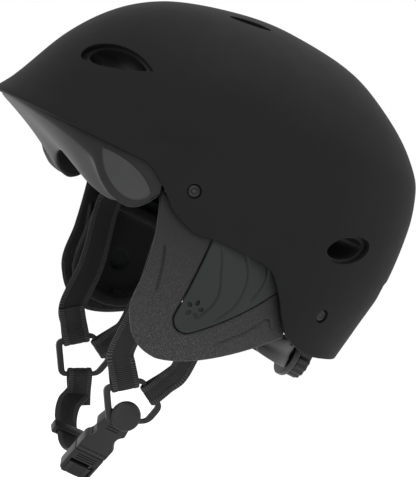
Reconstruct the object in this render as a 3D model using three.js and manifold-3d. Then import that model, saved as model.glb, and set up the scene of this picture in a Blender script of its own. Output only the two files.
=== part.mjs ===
// Water sports helmet: hard shell, foam liner, ear protectors, harness with a side-release buckle,
// and a rear cradle with a dial. Millimetres, +Z up, front towards -X, left side towards -Y.
// The origin is the point inside the helmet that rests on the crown of the head.
import * as THREE from 'three';
import { mergeVertices } from 'three/addons/utils/BufferGeometryUtils.js';
import { ParametricGeometry } from 'three/addons/geometries/ParametricGeometry.js';
import Module from 'manifold-3d';

const wasm = await Module();
wasm.setup();

// ---- driving dimensions ----
const CROWN = 22;            // top of the shell above the head
const POLE_X = 10;           // the shell's and the cavity's vertical axis
const SHELL_WALL = 3;
const GAP = 0.4;             // clearance between pieces that lie against each other
const SEAT = 1.2;            // clearance between the shell and the foam
const SHELL_AROUND = 44;     // facets round the shell
const SHELL_DOWN = 10;       // rows from the crown to the edge
const CAVITY_TOP = 4.4;      // foam's inner crown above the head
const CAVITY = { front: 100, rear: 112, side: 81, height: 104 };
const PAD_THICK = 4.4;       // how far the comfort pads stand in from the foam
const PAD_GAP = 1.5;         // clearance that the foam's facets need behind a pad
const EAR = { x: 2, y: 30, z: -150, rx: 110, ry: 75, rz: 110, wall: 3 };
const WEB = { width: 18, thick: 1.5, standOff: 2.2 };
const RING = { y: 58, bar: 3.6, thick: 3.4 };
const RIVET = { head: 4.2, hole: 4.7, shank: 2.2, bore: 2.8 };
const FRONT_RIVET = { x: -30, z: -102 };
const REAR_RIVET = { x: 90, z: -136 };
const DIAL = { radius: 13, depth: 9 };
const CRADLE = { x: 51, radius: 58, wall: 3, z: -169, half: 10, sweep: 72, armY: 33, armTop: -118 };
const BUCKLE_TILT = 38;      // lean of the buckle's length from the vertical, in degrees
const BUCKLE_TOP = { x: 11, y: -52, z: -252 };
const HOUSING = { half: 11, waist: 6.8, start: 2, end: 40, thick: 9.5, throat: 8.3, slot: 5.4 };
const CLIP = { start: 40.4, end: 63, barStart: 57.6, barThick: 3.6, windowStart: 49, window: 8.8 };
const PRONG = { x: 5.6, root: 43, tip: 15, thick: 4.4 };

const rad = THREE.MathUtils.degToRad;
const vec = (x, y, z) => new THREE.Vector3(x, y, z);

// ---- materials ----
const finish = (color, roughness, metalness = 0) =>
  new THREE.MeshStandardMaterial({ color, roughness, metalness });
const MATTE_SHELL = finish(0x262626, 0.6);
const FOAM = finish(0x444548, 0.7);
const INLAY = finish(0x56585a, 0.6);
const GRAINED = finish(0x2c2c2c, 0.55);
const SMOOTH_GREY = finish(0x373b3a, 0.5);
const FABRIC = finish(0x1d1d1f, 0.9);
const WEBBING = finish(0x242424, 0.85);
const BUCKLE = finish(0x2b2b2c, 0.4);
const STEEL = finish(0x1b1b1b, 0.45, 0.6);

// ---- geometry helpers ----
// A smooth curve through [position, value] points that never overshoots them.
function smooth(points) {
  const slope = points.slice(1).map((p, i) => (p[1] - points[i][1]) / (p[0] - points[i][0]));
  const tangent = points.map((_, i) => {
    if (i === 0) return slope[0];
    if (i === points.length - 1) return slope[i - 1];
    const product = slope[i - 1] * slope[i];
    return product <= 0 ? 0 : (2 * product) / (slope[i - 1] + slope[i]);
  });
  return (x) => {
    if (x <= points[0][0]) return points[0][1];
    const last = points.length - 1;
    if (x >= points[last][0]) return points[last][1];
    const i = points.findIndex((p) => p[0] > x) - 1;
    const width = points[i + 1][0] - points[i][0];
    const t = (x - points[i][0]) / width;
    const h = t * t * (3 - 2 * t);
    const rise = tangent[i] * width * t * (1 - t) * (1 - t);
    const fall = tangent[i + 1] * width * t * t * (t - 1);
    return points[i][1] * (1 - h) + points[i + 1][1] * h + rise + fall;
  };
}

// Shared vertices merged, collapsed triangles dropped, faces turned outwards.
function welded(geometry) {
  const plain = geometry.clone();
  plain.deleteAttribute('normal');
  plain.deleteAttribute('uv');
  const merged = mergeVertices(plain, 1e-3);
  const at = merged.attributes.position;
  let index = Array.from(merged.index.array);
  const kept = [];
  let volume = 0;
  for (let i = 0; i < index.length; i += 3) {
    const [a, b, c] = index.slice(i, i + 3);
    if (a === b || b === c || c === a) continue;
    kept.push(a, b, c);
    const [p, q, r] = [a, b, c].map((k) => vec(at.getX(k), at.getY(k), at.getZ(k)));
    volume += p.dot(q.cross(r));
  }
  if (volume < 0) {
    for (let i = 0; i < kept.length; i += 3) [kept[i], kept[i + 1]] = [kept[i + 1], kept[i]];
  }
  merged.setIndex(kept);
  return merged;
}

function solid(geometry) {
  const closed = welded(geometry);
  return new wasm.Manifold(new wasm.Mesh({
    numProp: 3,
    vertProperties: new Float32Array(closed.attributes.position.array),
    triVerts: new Uint32Array(closed.index.array),
  }));
}

function geometryOf(manifold) {
  const mesh = manifold.getMesh();
  const geometry = new THREE.BufferGeometry();
  geometry.setAttribute('position', new THREE.BufferAttribute(new Float32Array(mesh.vertProperties), 3));
  geometry.setIndex(new THREE.BufferAttribute(new Uint32Array(mesh.triVerts), 1));
  return geometry;
}

function mirrored(geometry) {
  return welded(geometry.clone().scale(1, -1, 1));
}

// A box whose three unit directions are mapped to a curved block by place(u, v, w).
function block(nu, nv, nw, place) {
  const box = new THREE.BoxGeometry(1, 1, 1, nu, nv, nw);
  const at = box.attributes.position;
  for (let i = 0; i < at.count; i += 1) {
    const p = place(at.getX(i) + 0.5, at.getY(i) + 0.5, at.getZ(i) + 0.5);
    at.setXYZ(i, p.x, p.y, p.z);
  }
  return welded(box);
}

// A shape drawn in side view (X, Z), pushed from y = -from to y = -to.
function sideways(shape, from, to, curveSegments = 8) {
  const geometry = new THREE.ExtrudeGeometry(shape, { depth: to - from, bevelEnabled: false, curveSegments });
  return geometry.translate(0, 0, from).rotateX(Math.PI / 2);
}

// A pin along a direction, centred on a point.
function pin(radius, length, centre, direction, sides = 16) {
  const geometry = new THREE.CylinderGeometry(radius, radius, length, sides);
  const turn = new THREE.Quaternion().setFromUnitVectors(vec(0, 1, 0), direction.clone().normalize());
  return geometry.applyQuaternion(turn).translate(centre.x, centre.y, centre.z);
}

// ---- the helmet's surfaces ----
// Reach from the pole against the square root of the depth below the crown.
const frontReach = smooth([[0, 0], [2.2, 39], [4.5, 85], [6.2, 110], [8.2, 132], [10.4, 151], [11, 159]]);
const rearReach = smooth([[0, 0], [1.7, 43], [4.1, 79], [6.2, 111], [7.35, 124], [9.1, 132], [10.9, 134.5],
  [12.5, 129.5], [13.4, 126]]);
const sideReach = smooth([[0, 0], [3, 49], [5.5, 80], [7.75, 98], [10, 106], [11.4, 107], [13.6, 103]]);

function radial(phi, front, rear, side, boxy) {
  const c = Math.cos(phi);
  const s = Math.sin(phi);
  const lengthways = c > 0 ? rear : front;
  return (Math.abs(c / lengthways) ** boxy + Math.abs(s / side) ** boxy) ** (-1 / boxy);
}

function hull(phi, root) {
  const r = root < 1e-6 ? 0
    : radial(phi, frontReach(root), rearReach(root), sideReach(root), Math.cos(phi) > 0 ? 2.35 : 2.1);
  return vec(POLE_X + r * Math.cos(phi), r * Math.sin(phi), CROWN - root * root);
}

// The hull moved inwards along its normal.
function inset(phi, root, depth) {
  if (root < 0.05) return vec(POLE_X, 0, CROWN - depth);
  const step = 0.01;
  const along = hull(phi + step, root).sub(hull(phi - step, root));
  const down = hull(phi, root + step).sub(hull(phi, root - step));
  const normal = along.cross(down).normalize();
  const point = hull(phi, root);
  if (normal.dot(vec(point.x - POLE_X, point.y, point.z + 100)) < 0) normal.negate();
  return point.addScaledVector(normal, -depth);
}

// Where a surface that is followed down one azimuth meets an edge given as height against x.
function rootAtEdge(phi, edge) {
  let root = 11;
  for (let i = 0; i < 40; i += 1) root = 0.5 * (root + Math.sqrt(CROWN - edge(hull(phi, root).x)));
  return root;
}

const shellEdge = smooth([[-150, -99], [-66, -99], [-49, -108], [-34, -120], [-16, -125.5], [-2, -123.5],
  [27, -123], [37, -124], [53, -137], [63, -149], [75, -159], [95, -163], [116, -160], [143, -155]]);
const linerEdge = smooth([[-150, -100], [-125, -103], [-98, -110], [-85, -123], [-74, -130], [-64, -132],
  [-56, -128], [-47, -113], [-40, -109], [-8, -110], [37, -112], [53, -127], [63, -139], [75, -147],
  [95, -151], [143, -146]]);

function cavity(phi, height, depth = 0) {
  const size = CAVITY.height - depth;
  const up = Math.max(0, height - CAVITY_TOP + CAVITY.height);
  const share = Math.sqrt(Math.max(0, 1 - (up / size) ** 2));
  const r = share < 1e-6 ? 0 : share * radial(phi, CAVITY.front - depth, CAVITY.rear - depth,
    CAVITY.side - depth, 2.2);
  return vec(POLE_X + r * Math.cos(phi), r * Math.sin(phi), height);
}

// The foam's inner surface, row by row from the crown to the liner's edge.
function cavityRow(phi, t) {
  let edge = -110;
  for (let i = 0; i < 20; i += 1) edge = linerEdge(cavity(phi, edge).x);
  const drop = CAVITY_TOP - Math.min(edge, -108);
  return cavity(phi, CAVITY_TOP - drop * t * t);
}

// A bowl with an outer and an inner wall, closed at both poles and round its rim.
function bowl(outer, inner, around, down) {
  const stacks = 2 * down + 1;
  return new ParametricGeometry((u, v, target) => {
    const phi = (2 * Math.PI * (Math.round(u * around) % around)) / around;
    const row = Math.round(v * stacks);
    target.copy(row <= down ? outer(phi, row / down) : inner(phi, (stacks - row) / down));
  }, around, stacks);
}

// ---- vents ----
// A leaf: round at one end and pointed at the other, drawn about its middle.
function leaf(length, height) {
  const shape = new THREE.Shape();
  const half = length / 2;
  shape.moveTo(-half, 0);
  shape.bezierCurveTo(-half, height * 0.72, length * 0.16, height * 0.72, half, -height * 0.3);
  shape.bezierCurveTo(length * 0.2, -height * 0.62, -half, -height * 0.5, -half, 0);
  return shape;
}

function oval(length, height) {
  const shape = new THREE.Shape();
  shape.absellipse(0, 0, length / 2, height / 2, 0, 2 * Math.PI);
  return shape;
}

// A cutter with the shape's outline, pushed along the outward direction through the wall.
function ventCutter(shape, centre, outward, tilt) {
  const geometry = new THREE.ExtrudeGeometry(shape, { depth: 90, bevelEnabled: false, curveSegments: 4 });
  geometry.translate(0, 0, -60).rotateZ(rad(tilt));
  const z = outward.clone().normalize();
  const x = vec(0, 0, 1).cross(z).normalize();
  const y = z.clone().cross(x);
  return geometry.applyMatrix4(new THREE.Matrix4().makeBasis(x, y, z)).translate(...centre);
}

// Left-hand vents; each has a mirror image on the right.
const vents = (scale) => [
  ventCutter(leaf(53 * scale, 19 * scale), [-99, -54, -49], vec(-0.62, -0.76, 0.3), 15),
  ventCutter(oval(36 * scale, 18 * scale), [78, -82, -91], vec(0.42, -0.9, 0.05), 26),
  ventCutter(oval(28 * scale, 10 * scale), [-27, -36, 11], vec(-0.06, -0.42, 1), 0),
  ventCutter(oval(30 * scale, 16 * scale), [132, -38, -104], vec(1, -0.3, -0.05), -20),
];

// ---- shell and liner ----
function rivetAt(spot) {
  let root = Math.sqrt(CROWN - spot.z);
  let phi = Math.atan2(-90, spot.x - POLE_X);
  for (let i = 0; i < 30; i += 1) {
    const y = hull(phi, root).y;
    phi = Math.atan2(y, spot.x - POLE_X);
  }
  const point = hull(phi, root);
  const inward = inset(phi, root, 1).sub(point).normalize();
  return { point, inward };
}
const RIVETS = { front: rivetAt(FRONT_RIVET), rear: rivetAt(REAR_RIVET) };

function cutBoth(body, cutters) {
  let result = body;
  for (const cutter of cutters) {
    result = result.subtract(solid(cutter)).subtract(solid(mirrored(cutter)));
  }
  return result;
}

function outerShell() {
  const outer = (phi, t) => hull(phi, rootAtEdge(phi, shellEdge) * t);
  const inner = (phi, t) => inset(phi, rootAtEdge(phi, shellEdge) * t, SHELL_WALL);
  const holes = Object.values(RIVETS).map(({ point, inward }) => pin(RIVET.hole, 14, point, inward));
  const body = solid(bowl(outer, inner, SHELL_AROUND, SHELL_DOWN));
  return geometryOf(cutBoth(body, [...vents(1), ...holes]));
}

function foamLiner() {
  const outer = (phi, t) => inset(phi, rootAtEdge(phi, linerEdge) * t, SHELL_WALL + SEAT);
  const bores = Object.values(RIVETS).map(({ point, inward }) =>
    pin(RIVET.bore, 120, point.clone(), inward, 12));
  const body = solid(bowl(outer, cavityRow, SHELL_AROUND, SHELL_DOWN));
  const earRoom = sideways(earOutline(), 70, 130).translate(-EAR.x, 0, -EAR.z).scale(1.03, 1, 1.03)
    .translate(EAR.x, 0, EAR.z);
  return geometryOf(cutBoth(body, [...vents(0.8), ...bores, earRoom]));
}

// ---- inlays and comfort pads ----
const lobeInlay = new THREE.Shape();
lobeInlay.moveTo(-92, -103);
lobeInlay.bezierCurveTo(-89, -113, -80, -123, -68, -125);
lobeInlay.bezierCurveTo(-59, -126, -53, -121, -53, -115);
lobeInlay.bezierCurveTo(-61, -105, -78, -101.5, -92, -103);

function templeInlay() {
  const band = (depth) => (u, v, w) => {
    const phi = Math.PI + rad(32 + 42 * u);
    const root = 10.9 + 1.5 * v;
    return inset(phi, root, depth + 1.2 * w);
  };
  const layer = solid(block(8, 6, 1, band(SHELL_WALL + SEAT - 1.6)));
  return geometryOf(layer.intersect(solid(sideways(lobeInlay, 20, 130))));
}

// A pad against the foam, covering a range of azimuth and of height.
function comfortPad(from, to, low, high) {
  return block(8, 4, 1, (u, v, w) => {
    const phi = rad(from + (to - from) * u);
    return cavity(phi, low + (high - low) * v, PAD_GAP + (PAD_THICK - PAD_GAP) * w);
  });
}

// The crown pad: a disc-like patch whose rows follow the foam's inner crown.
function crownPad() {
  const reach = { x: 44, y: 27 };
  return block(6, 5, 1, (u, v, w) => {
    const x = (2 * u - 1) * reach.x;
    const y = (2 * v - 1) * reach.y;
    const size = CAVITY.height - PAD_GAP - (PAD_THICK - PAD_GAP) * w;
    const across = x > 0 ? CAVITY.rear : CAVITY.front;
    const share = (Math.abs(x / across) ** 2.2 + Math.abs(y / CAVITY.side) ** 2.2) ** (1 / 2.2);
    return vec(POLE_X + x, y, CAVITY_TOP - CAVITY.height + size * Math.sqrt(1 - share * share));
  });
}

// ---- ear protectors ----
function earDome(depth) {
  const dome = new THREE.SphereGeometry(1, 28, 16);
  return dome.scale(EAR.rx - depth, EAR.ry - depth, EAR.rz - depth).translate(EAR.x, -EAR.y, EAR.z);
}

function earOutline() {
  const shape = new THREE.Shape();
  shape.moveTo(-48, -107);
  shape.bezierCurveTo(-43, -122, -38, -137, -35, -155);
  shape.bezierCurveTo(-32, -168, -37, -180, -28, -192);
  shape.bezierCurveTo(-20, -205, -10, -208, 0, -208);
  shape.bezierCurveTo(18, -205, 40, -190, 74, -160);
  shape.lineTo(72, -153);
  shape.lineTo(60, -142.5);
  shape.lineTo(50, -129);
  shape.quadraticCurveTo(44, -119, 30, -118.6);
  shape.lineTo(-22, -119.5);
  shape.quadraticCurveTo(-34, -117, -48, -107);
  return shape;
}

function insertOutline(grow) {
  const end = { x: 5, z: -176, r: 9 + grow };
  const shape = new THREE.Shape();
  shape.moveTo(end.x - end.r, -112);
  shape.lineTo(end.x - end.r, end.z);
  shape.absarc(end.x, end.z, end.r, Math.PI, rad(310), false);
  shape.quadraticCurveTo(34 + grow, -162 - grow, 54 + grow, -133 - grow);
  shape.lineTo(54 + grow, -112);
  return shape;
}

const FLOWER = { x: 5, z: -168, petals: 5, ring: 4.6, petal: 1.9, core: 2 };

function earCover() {
  const layer = solid(earDome(0)).subtract(solid(earDome(EAR.wall)));
  return geometryOf(layer.intersect(solid(sideways(earOutline(), 60, 120)))
    .subtract(solid(sideways(insertOutline(GAP), 60, 120))));
}

function earInsert() {
  let plate = solid(earDome(-0.5)).subtract(solid(earDome(EAR.wall)))
    .intersect(solid(sideways(insertOutline(0), 60, 120)))
    .intersect(solid(sideways(earOutline(), 60, 120)));
  for (let i = 0; i < FLOWER.petals; i += 1) {
    const turn = (2 * Math.PI * i) / FLOWER.petals + Math.PI / 2;
    const petal = new THREE.Shape();
    petal.absellipse(FLOWER.x + FLOWER.ring * Math.cos(turn), FLOWER.z + FLOWER.ring * Math.sin(turn),
      FLOWER.petal, 1.3, 0, 2 * Math.PI, false, turn);
    plate = plate.subtract(solid(sideways(petal, 80, 120, 4)));
  }
  return geometryOf(plate);
}

// The pad fills the dome from inside down to a flat face towards the head, with a recess for the ear.
const EAR_PAD = { face: 85, panel: 94, rim: 8, holeX: 5, holeZ: -166, holeRadius: 6.7 };

function padOutline(inside) {
  const shape = new THREE.Shape();
  const k = inside;
  shape.moveTo(-29 + k, -126 - k);
  shape.bezierCurveTo(-27 + k, -150, -29 + k, -172, -24 + k, -186 + k);
  shape.bezierCurveTo(-18 + k, -200 + k, 4, -202 + k, 18, -196 + k);
  shape.bezierCurveTo(34 - k, -188 + k, 50 - k, -172 + k, 58 - k, -160);
  shape.quadraticCurveTo(52 - k, -134 - k, 34 - k, -126 - k);
  shape.lineTo(-29 + k, -126 - k);
  return shape;
}

function earPad() {
  const rim = solid(earDome(EAR.wall + 2.4)).intersect(solid(sideways(padOutline(0), EAR_PAD.face, 120)));
  const recess = solid(sideways(padOutline(EAR_PAD.rim), 60, EAR_PAD.panel));
  const hole = solid(pin(EAR_PAD.holeRadius, 80, vec(EAR_PAD.holeX, -95, EAR_PAD.holeZ), vec(0, 1, 0)));
  return geometryOf(rim.subtract(recess).subtract(hole));
}

// ---- straps ----
// Webbing along a route; across gives its width direction at each of the route's points.
function webbing(route, across, width, perStep = 2) {
  const middle = new THREE.CatmullRomCurve3(route, false, 'centripetal');
  const sideline = new THREE.CatmullRomCurve3(across, false, 'centripetal');
  const steps = (route.length - 1) * perStep;
  return block(1, 1, steps, (u, v, w) => {
    const tangent = middle.getTangent(w);
    const side = sideline.getPoint(w).addScaledVector(tangent, -sideline.getPoint(w).dot(tangent)).normalize();
    const face = tangent.clone().cross(side);
    return middle.getPoint(w).addScaledVector(side, (u - 0.5) * width)
      .addScaledVector(face, (v - 0.5) * WEB.thick);
  });
}

// The last points of a strap that turns round a bar and lies back on itself.
function turnRound(bar, away, outward) {
  const reach = RING.bar / 2 + GAP + WEB.thick / 2 + 0.5;
  const at = (a, o) => bar.clone().addScaledVector(away, a).addScaledVector(outward, o);
  const close = WEB.thick / 2 + 0.35;
  return [at(20, close), at(12, close), at(5, reach * 0.82), at(0, reach), at(-reach * 0.75, reach * 0.7),
    at(-reach, 0), at(-reach * 0.75, -reach * 0.7), at(0, -reach), at(5, -reach * 0.82), at(12, -close),
    at(22, -close)];
}

const RING_CORNERS = [[-8, -240], [11, -226], [29, -236], [26, -248], [4, -258.5]];

function ringShape() {
  const corners = RING_CORNERS.map(([x, z]) => new THREE.Vector2(x, z)).reverse();
  const middle = corners.reduce((sum, c) => sum.add(c), new THREE.Vector2()).divideScalar(corners.length);
  const outline = (path, scale, round) => {
    const points = corners.map((c) => c.clone().sub(middle).multiplyScalar(scale).add(middle));
    points.forEach((corner, i) => {
      const before = points[(i + points.length - 1) % points.length];
      const after = points[(i + 1) % points.length];
      const start = corner.clone().lerp(before, round / corner.distanceTo(before));
      const end = corner.clone().lerp(after, round / corner.distanceTo(after));
      if (i === 0) path.moveTo(start.x, start.y);
      else path.lineTo(start.x, start.y);
      path.quadraticCurveTo(corner.x, corner.y, end.x, end.y);
    });
    path.closePath();
    return path;
  };
  const shape = outline(new THREE.Shape(), 1.16, 5);
  shape.holes.push(outline(new THREE.Path(), 0.9, 2));
  return shape;
}

const RIGHT_SHIFT = vec(-9, 0, 6);   // the right ring sits a little further forward and higher

function strapRing(shift) {
  const ring = sideways(ringShape(), RING.y - RING.thick / 2, RING.y + RING.thick / 2, 3);
  return ring.translate(shift.x, 0, shift.z);
}

// The middle of the ring's bar between two corners, and the direction out across it.
function ringBar(first, second, shift) {
  const [a, b] = [first, second].map((i) => vec(RING_CORNERS[i][0], -RING.y, RING_CORNERS[i][1]).add(shift));
  const middle = a.clone().lerp(b, 0.5);
  const along = b.clone().sub(a).normalize();
  const out = along.clone().cross(vec(0, -1, 0)).normalize();
  const centre = RING_CORNERS.reduce((sum, c) => sum.add(vec(c[0] / 5, 0, c[1] / 5)), vec(0, -RING.y, 0)).add(shift);
  if (out.dot(middle.clone().sub(centre)) < 0) out.negate();
  return { middle: middle.addScaledVector(out, 0.4), along, out };
}

// Distance along the rivet from the shell's face to the foam's inner face.
function rivetSeat({ point, inward }) {
  let travel = 5;
  const inside = (p) => {
    const r = Math.hypot(p.x - POLE_X, p.y);
    const wall = cavity(Math.atan2(p.y, p.x - POLE_X), p.z);
    return r < Math.hypot(wall.x - POLE_X, wall.y) - WEB.standOff;
  };
  while (!inside(point.clone().addScaledVector(inward, travel)) && travel < 60) travel += 0.2;
  return travel;
}

function strapRoute(rivet, waypoints, bar) {
  const seat = rivetSeat(rivet) + GAP + WEB.thick / 2;
  const anchor = rivet.point.clone().addScaledVector(rivet.inward, seat);
  const down = waypoints[0].clone().sub(anchor);
  down.addScaledVector(rivet.inward, -down.dot(rivet.inward)).normalize();
  const start = [-9, 0, 10].map((d) => anchor.clone().addScaledVector(down, d));
  const end = turnRound(bar.middle, bar.out, vec(0, -1, 0));
  const route = [...start, ...waypoints, ...end];
  const top = rivet.inward.clone().cross(down).normalize();
  if (top.dot(bar.along) < 0) top.negate();
  const across = route.map((_, i) => {
    const share = THREE.MathUtils.clamp((i - 2) / (waypoints.length + 1), 0, 1);
    return top.clone().lerp(bar.along, share);
  });
  return { route, across, anchor };
}

function strap(rivet, waypoints, bar, width) {
  const { route, across, anchor } = strapRoute(rivet, waypoints, bar);
  const hole = pin(RIVET.shank + GAP, 12, anchor, rivet.inward, 12);
  return geometryOf(solid(webbing(route, across, width)).subtract(solid(hole)));
}

function strapRivet(rivet) {
  const end = rivetSeat(rivet) + 6;
  const profile = [[0, 0.9], [RIVET.head - 1, 0.9], [RIVET.head, 1.6], [RIVET.head, 3.6], [RIVET.shank, 3.6],
    [RIVET.shank, end], [0, end]].map(([r, l]) => new THREE.Vector2(r, l));
  const turn = new THREE.Quaternion().setFromUnitVectors(vec(0, 1, 0), rivet.inward);
  return new THREE.LatheGeometry(profile, 12).applyQuaternion(turn).translate(...rivet.point.toArray());
}

function rivetWasher(rivet) {
  const start = rivetSeat(rivet) + 2 * GAP + WEB.thick + 0.3;
  const profile = [[RIVET.shank + 0.3, start], [6, start], [6, start + 0.8], [5, start + 1.4],
    [RIVET.shank + 0.3, start + 1.4], [RIVET.shank + 0.3, start]].map(([r, l]) => new THREE.Vector2(r, l));
  const turn = new THREE.Quaternion().setFromUnitVectors(vec(0, 1, 0), rivet.inward);
  return new THREE.LatheGeometry(profile, 14).applyQuaternion(turn).translate(...rivet.point.toArray());
}

// ---- rear cradle and dial ----
function rearCradle() {
  const { x, radius, wall, z, half, sweep, armY, armTop } = CRADLE;
  const band = block(18, 1, 1, (u, v, w) => {
    const turn = rad(sweep * (2 * u - 1));
    const r = radius + wall * w;
    const height = half * (1 - 0.35 * Math.abs(2 * u - 1) ** 3);
    return vec(x + r * Math.cos(turn), r * Math.sin(turn), z + height * (2 * v - 1));
  });
  const backX = x + Math.sqrt((radius + wall / 2) ** 2 - armY ** 2);
  const arm = (y) => block(1, 4, 1, (u, v, w) => {
    const rise = z + half - 4 + (armTop - z - half + 4) * v;
    return vec(backX - 1 + 2 * w + 6 * v, y + 5 * (2 * u - 1), rise);
  });
  const spindle = pin(3.4, 20, vec(x + radius, 0, z), vec(1, 0, 0));
  return geometryOf(solid(band).add(solid(arm(armY))).add(solid(arm(-armY))).subtract(solid(spindle)));
}

const DIAL_BACK = CRADLE.x + CRADLE.radius + CRADLE.wall + GAP;

function dialHousing() {
  const profile = [[3.4, 0], [16, 0], [16, 3.4], [14.6, 5], [3.4, 5], [3.4, 0]];
  return new THREE.LatheGeometry(profile.map(([r, l]) => new THREE.Vector2(r, l)), 28)
    .rotateZ(-Math.PI / 2).translate(DIAL_BACK, 0, CRADLE.z);
}

function dialKnob() {
  const shape = new THREE.Shape();
  const flutes = 16;
  for (let i = 0; i < 2 * flutes; i += 1) {
    const r = DIAL.radius + (i % 2 === 0 ? 0.5 : -0.5);
    const turn = (Math.PI * i) / flutes;
    if (i === 0) shape.moveTo(r, 0);
    else shape.lineTo(r * Math.cos(turn), r * Math.sin(turn));
  }
  const grip = new THREE.ExtrudeGeometry(shape, { depth: DIAL.depth, bevelEnabled: false })
    .rotateY(Math.PI / 2).translate(DIAL_BACK + 5 + GAP, 0, CRADLE.z);
  const spindle = pin(3, 16, vec(DIAL_BACK + 0.5, 0, CRADLE.z), vec(1, 0, 0));
  return geometryOf(solid(grip).add(solid(spindle)));
}

// ---- side-release buckle ----
// The buckle is drawn flat, x across and l along it, and then hung from the ring at its lean.
function onBuckle(geometry) {
  const along = vec(0, Math.sin(rad(BUCKLE_TILT)), -Math.cos(rad(BUCKLE_TILT)));
  const across = vec(1, 0, 0);
  const frame = new THREE.Matrix4().makeBasis(across, along, across.clone().cross(along));
  return geometry.applyMatrix4(frame).translate(BUCKLE_TOP.x, BUCKLE_TOP.y, BUCKLE_TOP.z);
}

function flatPiece(shape, thick, curveSegments = 6) {
  return new THREE.ExtrudeGeometry(shape, { depth: thick, bevelEnabled: false, curveSegments })
    .translate(0, 0, -thick / 2);
}

function rectangle(x0, x1, l0, l1) {
  const shape = new THREE.Shape();
  shape.moveTo(x0, l0);
  shape.lineTo(x1, l0);
  shape.lineTo(x1, l1);
  shape.lineTo(x0, l1);
  shape.closePath();
  return shape;
}

function buckleHousing() {
  const { half, waist, start, end, thick, throat, slot } = HOUSING;
  const side = new THREE.Shape();
  side.moveTo(-half + 2.5, start);
  side.lineTo(half - 2.5, start);
  side.bezierCurveTo(half - 1, start + 6, half, 13, half - 0.5, 14.5);
  side.bezierCurveTo(waist, 16, waist, 24, half - 0.5, 27);
  side.lineTo(half, 29);
  side.lineTo(half, end);
  side.lineTo(-half, end);
  side.lineTo(-half, 29);
  side.lineTo(-half + 0.5, 27);
  side.bezierCurveTo(-waist, 24, -waist, 16, -half + 0.5, 14.5);
  side.bezierCurveTo(-half, 13, -half + 1, start + 6, -half + 2.5, start);
  const throatCut = solid(flatPiece(rectangle(-throat, throat, 12, end + 5), slot));
  const body = solid(onBuckle(flatPiece(side, thick))).subtract(solid(onBuckle(geometryOf(throatCut))));
  const lug = pin(7.5, 3.2, vec(BUCKLE_TOP.x, -54.2, -251), vec(0, 1, 0), 20);
  const bore = pin(2.4, 30, vec(BUCKLE_TOP.x, -52, -251), vec(0, 1, 0), 12);
  return geometryOf(body.add(solid(lug)).subtract(solid(bore)));
}

function prongShape(grow) {
  const { x, root, tip } = PRONG;
  const shape = new THREE.Shape();
  shape.moveTo(x - 1.3 - grow, root);
  shape.lineTo(x - 1.3 - grow, 26);
  shape.bezierCurveTo(x - 1, 20, x - 1, tip, x + 0.6, tip);
  shape.bezierCurveTo(x + 2.4, tip, x + 2.5, 21, x + 2.3, 24);
  shape.lineTo(x + 1.4 + grow, 27);
  shape.lineTo(x + 1.4 + grow, root);
  shape.absarc(x, root, 1.35 + grow, 0, Math.PI, false);
  return shape;
}

function buckleClip() {
  const { half, thick, slot } = HOUSING;
  const { start, end, barStart, barThick, windowStart, window } = CLIP;
  const side = new THREE.Shape();
  side.moveTo(-half, start);
  side.lineTo(half, start);
  side.lineTo(half, end - 3);
  side.quadraticCurveTo(half, end, half - 3, end);
  side.lineTo(-half + 3, end);
  side.quadraticCurveTo(-half, end, -half, end - 3);
  side.closePath();
  const opening = flatPiece(rectangle(-window, window, windowStart, barStart), 30);
  const thinning = (from) => flatPiece(rectangle(-window, window, barStart - 1, end + 5), 20)
    .translate(0, 0, from);
  const pocket = (mirror) => {
    const room = flatPiece(rectangle(PRONG.x - 3.6, PRONG.x + 2.2, start - 1, PRONG.root), slot);
    const seat = new THREE.Shape();
    seat.absarc(PRONG.x, PRONG.root, 1.85, 0, 2 * Math.PI);
    return solid(room).add(solid(flatPiece(seat, slot))).scale([mirror, 1, 1]);
  };
  const tongue = solid(flatPiece(rectangle(-1.4, 1.4, 20, start + 1), 3.2));
  const body = solid(flatPiece(side, thick)).subtract(solid(opening))
    .subtract(solid(thinning(10 + barThick / 2))).subtract(solid(thinning(-10 - barThick / 2)))
    .subtract(pocket(1)).subtract(pocket(-1)).add(tongue);
  return onBuckle(geometryOf(body));
}

function prong(side) {
  const piece = solid(flatPiece(prongShape(0), PRONG.thick)).scale([side, 1, 1]);
  return onBuckle(geometryOf(piece));
}

// The round cap on the ring, with the stud that goes through the ring to the housing's lug.
function ringCap() {
  const outside = -RING.y - RING.thick / 2 - GAP;
  const profile = [[0, 0], [10, 0], [10, 2.2], [8.8, 3.4], [0, 3.4]].map(([r, l]) => new THREE.Vector2(r, l));
  const cap = new THREE.LatheGeometry(profile, 28).rotateX(Math.PI);
  const stud = pin(1.9, 8.4, vec(0, 3.9, 0), vec(0, 1, 0), 12);
  return geometryOf(solid(cap).add(solid(stud))).translate(BUCKLE_TOP.x, outside, -251);
}

// The end of the chin strap, folded round the clip's bar.
function clipWeb() {
  const middle = (CLIP.barStart + CLIP.end) / 2;
  const route = [[52.5, -4], [57, -3.5], [middle, -3.2], [64, -2.8], [65.4, 0], [64, 2.8], [middle, 3.2],
    [57, 2.9], [55.6, 1.2]].map(([l, h]) => vec(0, l, h));
  const strip = webbing(route, route.map(() => vec(1, 0, 0)), 16.5);
  return onBuckle(strip);
}

const CHIN_RUN = [vec(11, -14, -289.8), vec(9.8, -3, -292.4), vec(8, 10, -290.5), vec(6.5, 23, -283.7),
  vec(5, 36, -277), vec(6, 48, -268)];

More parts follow.
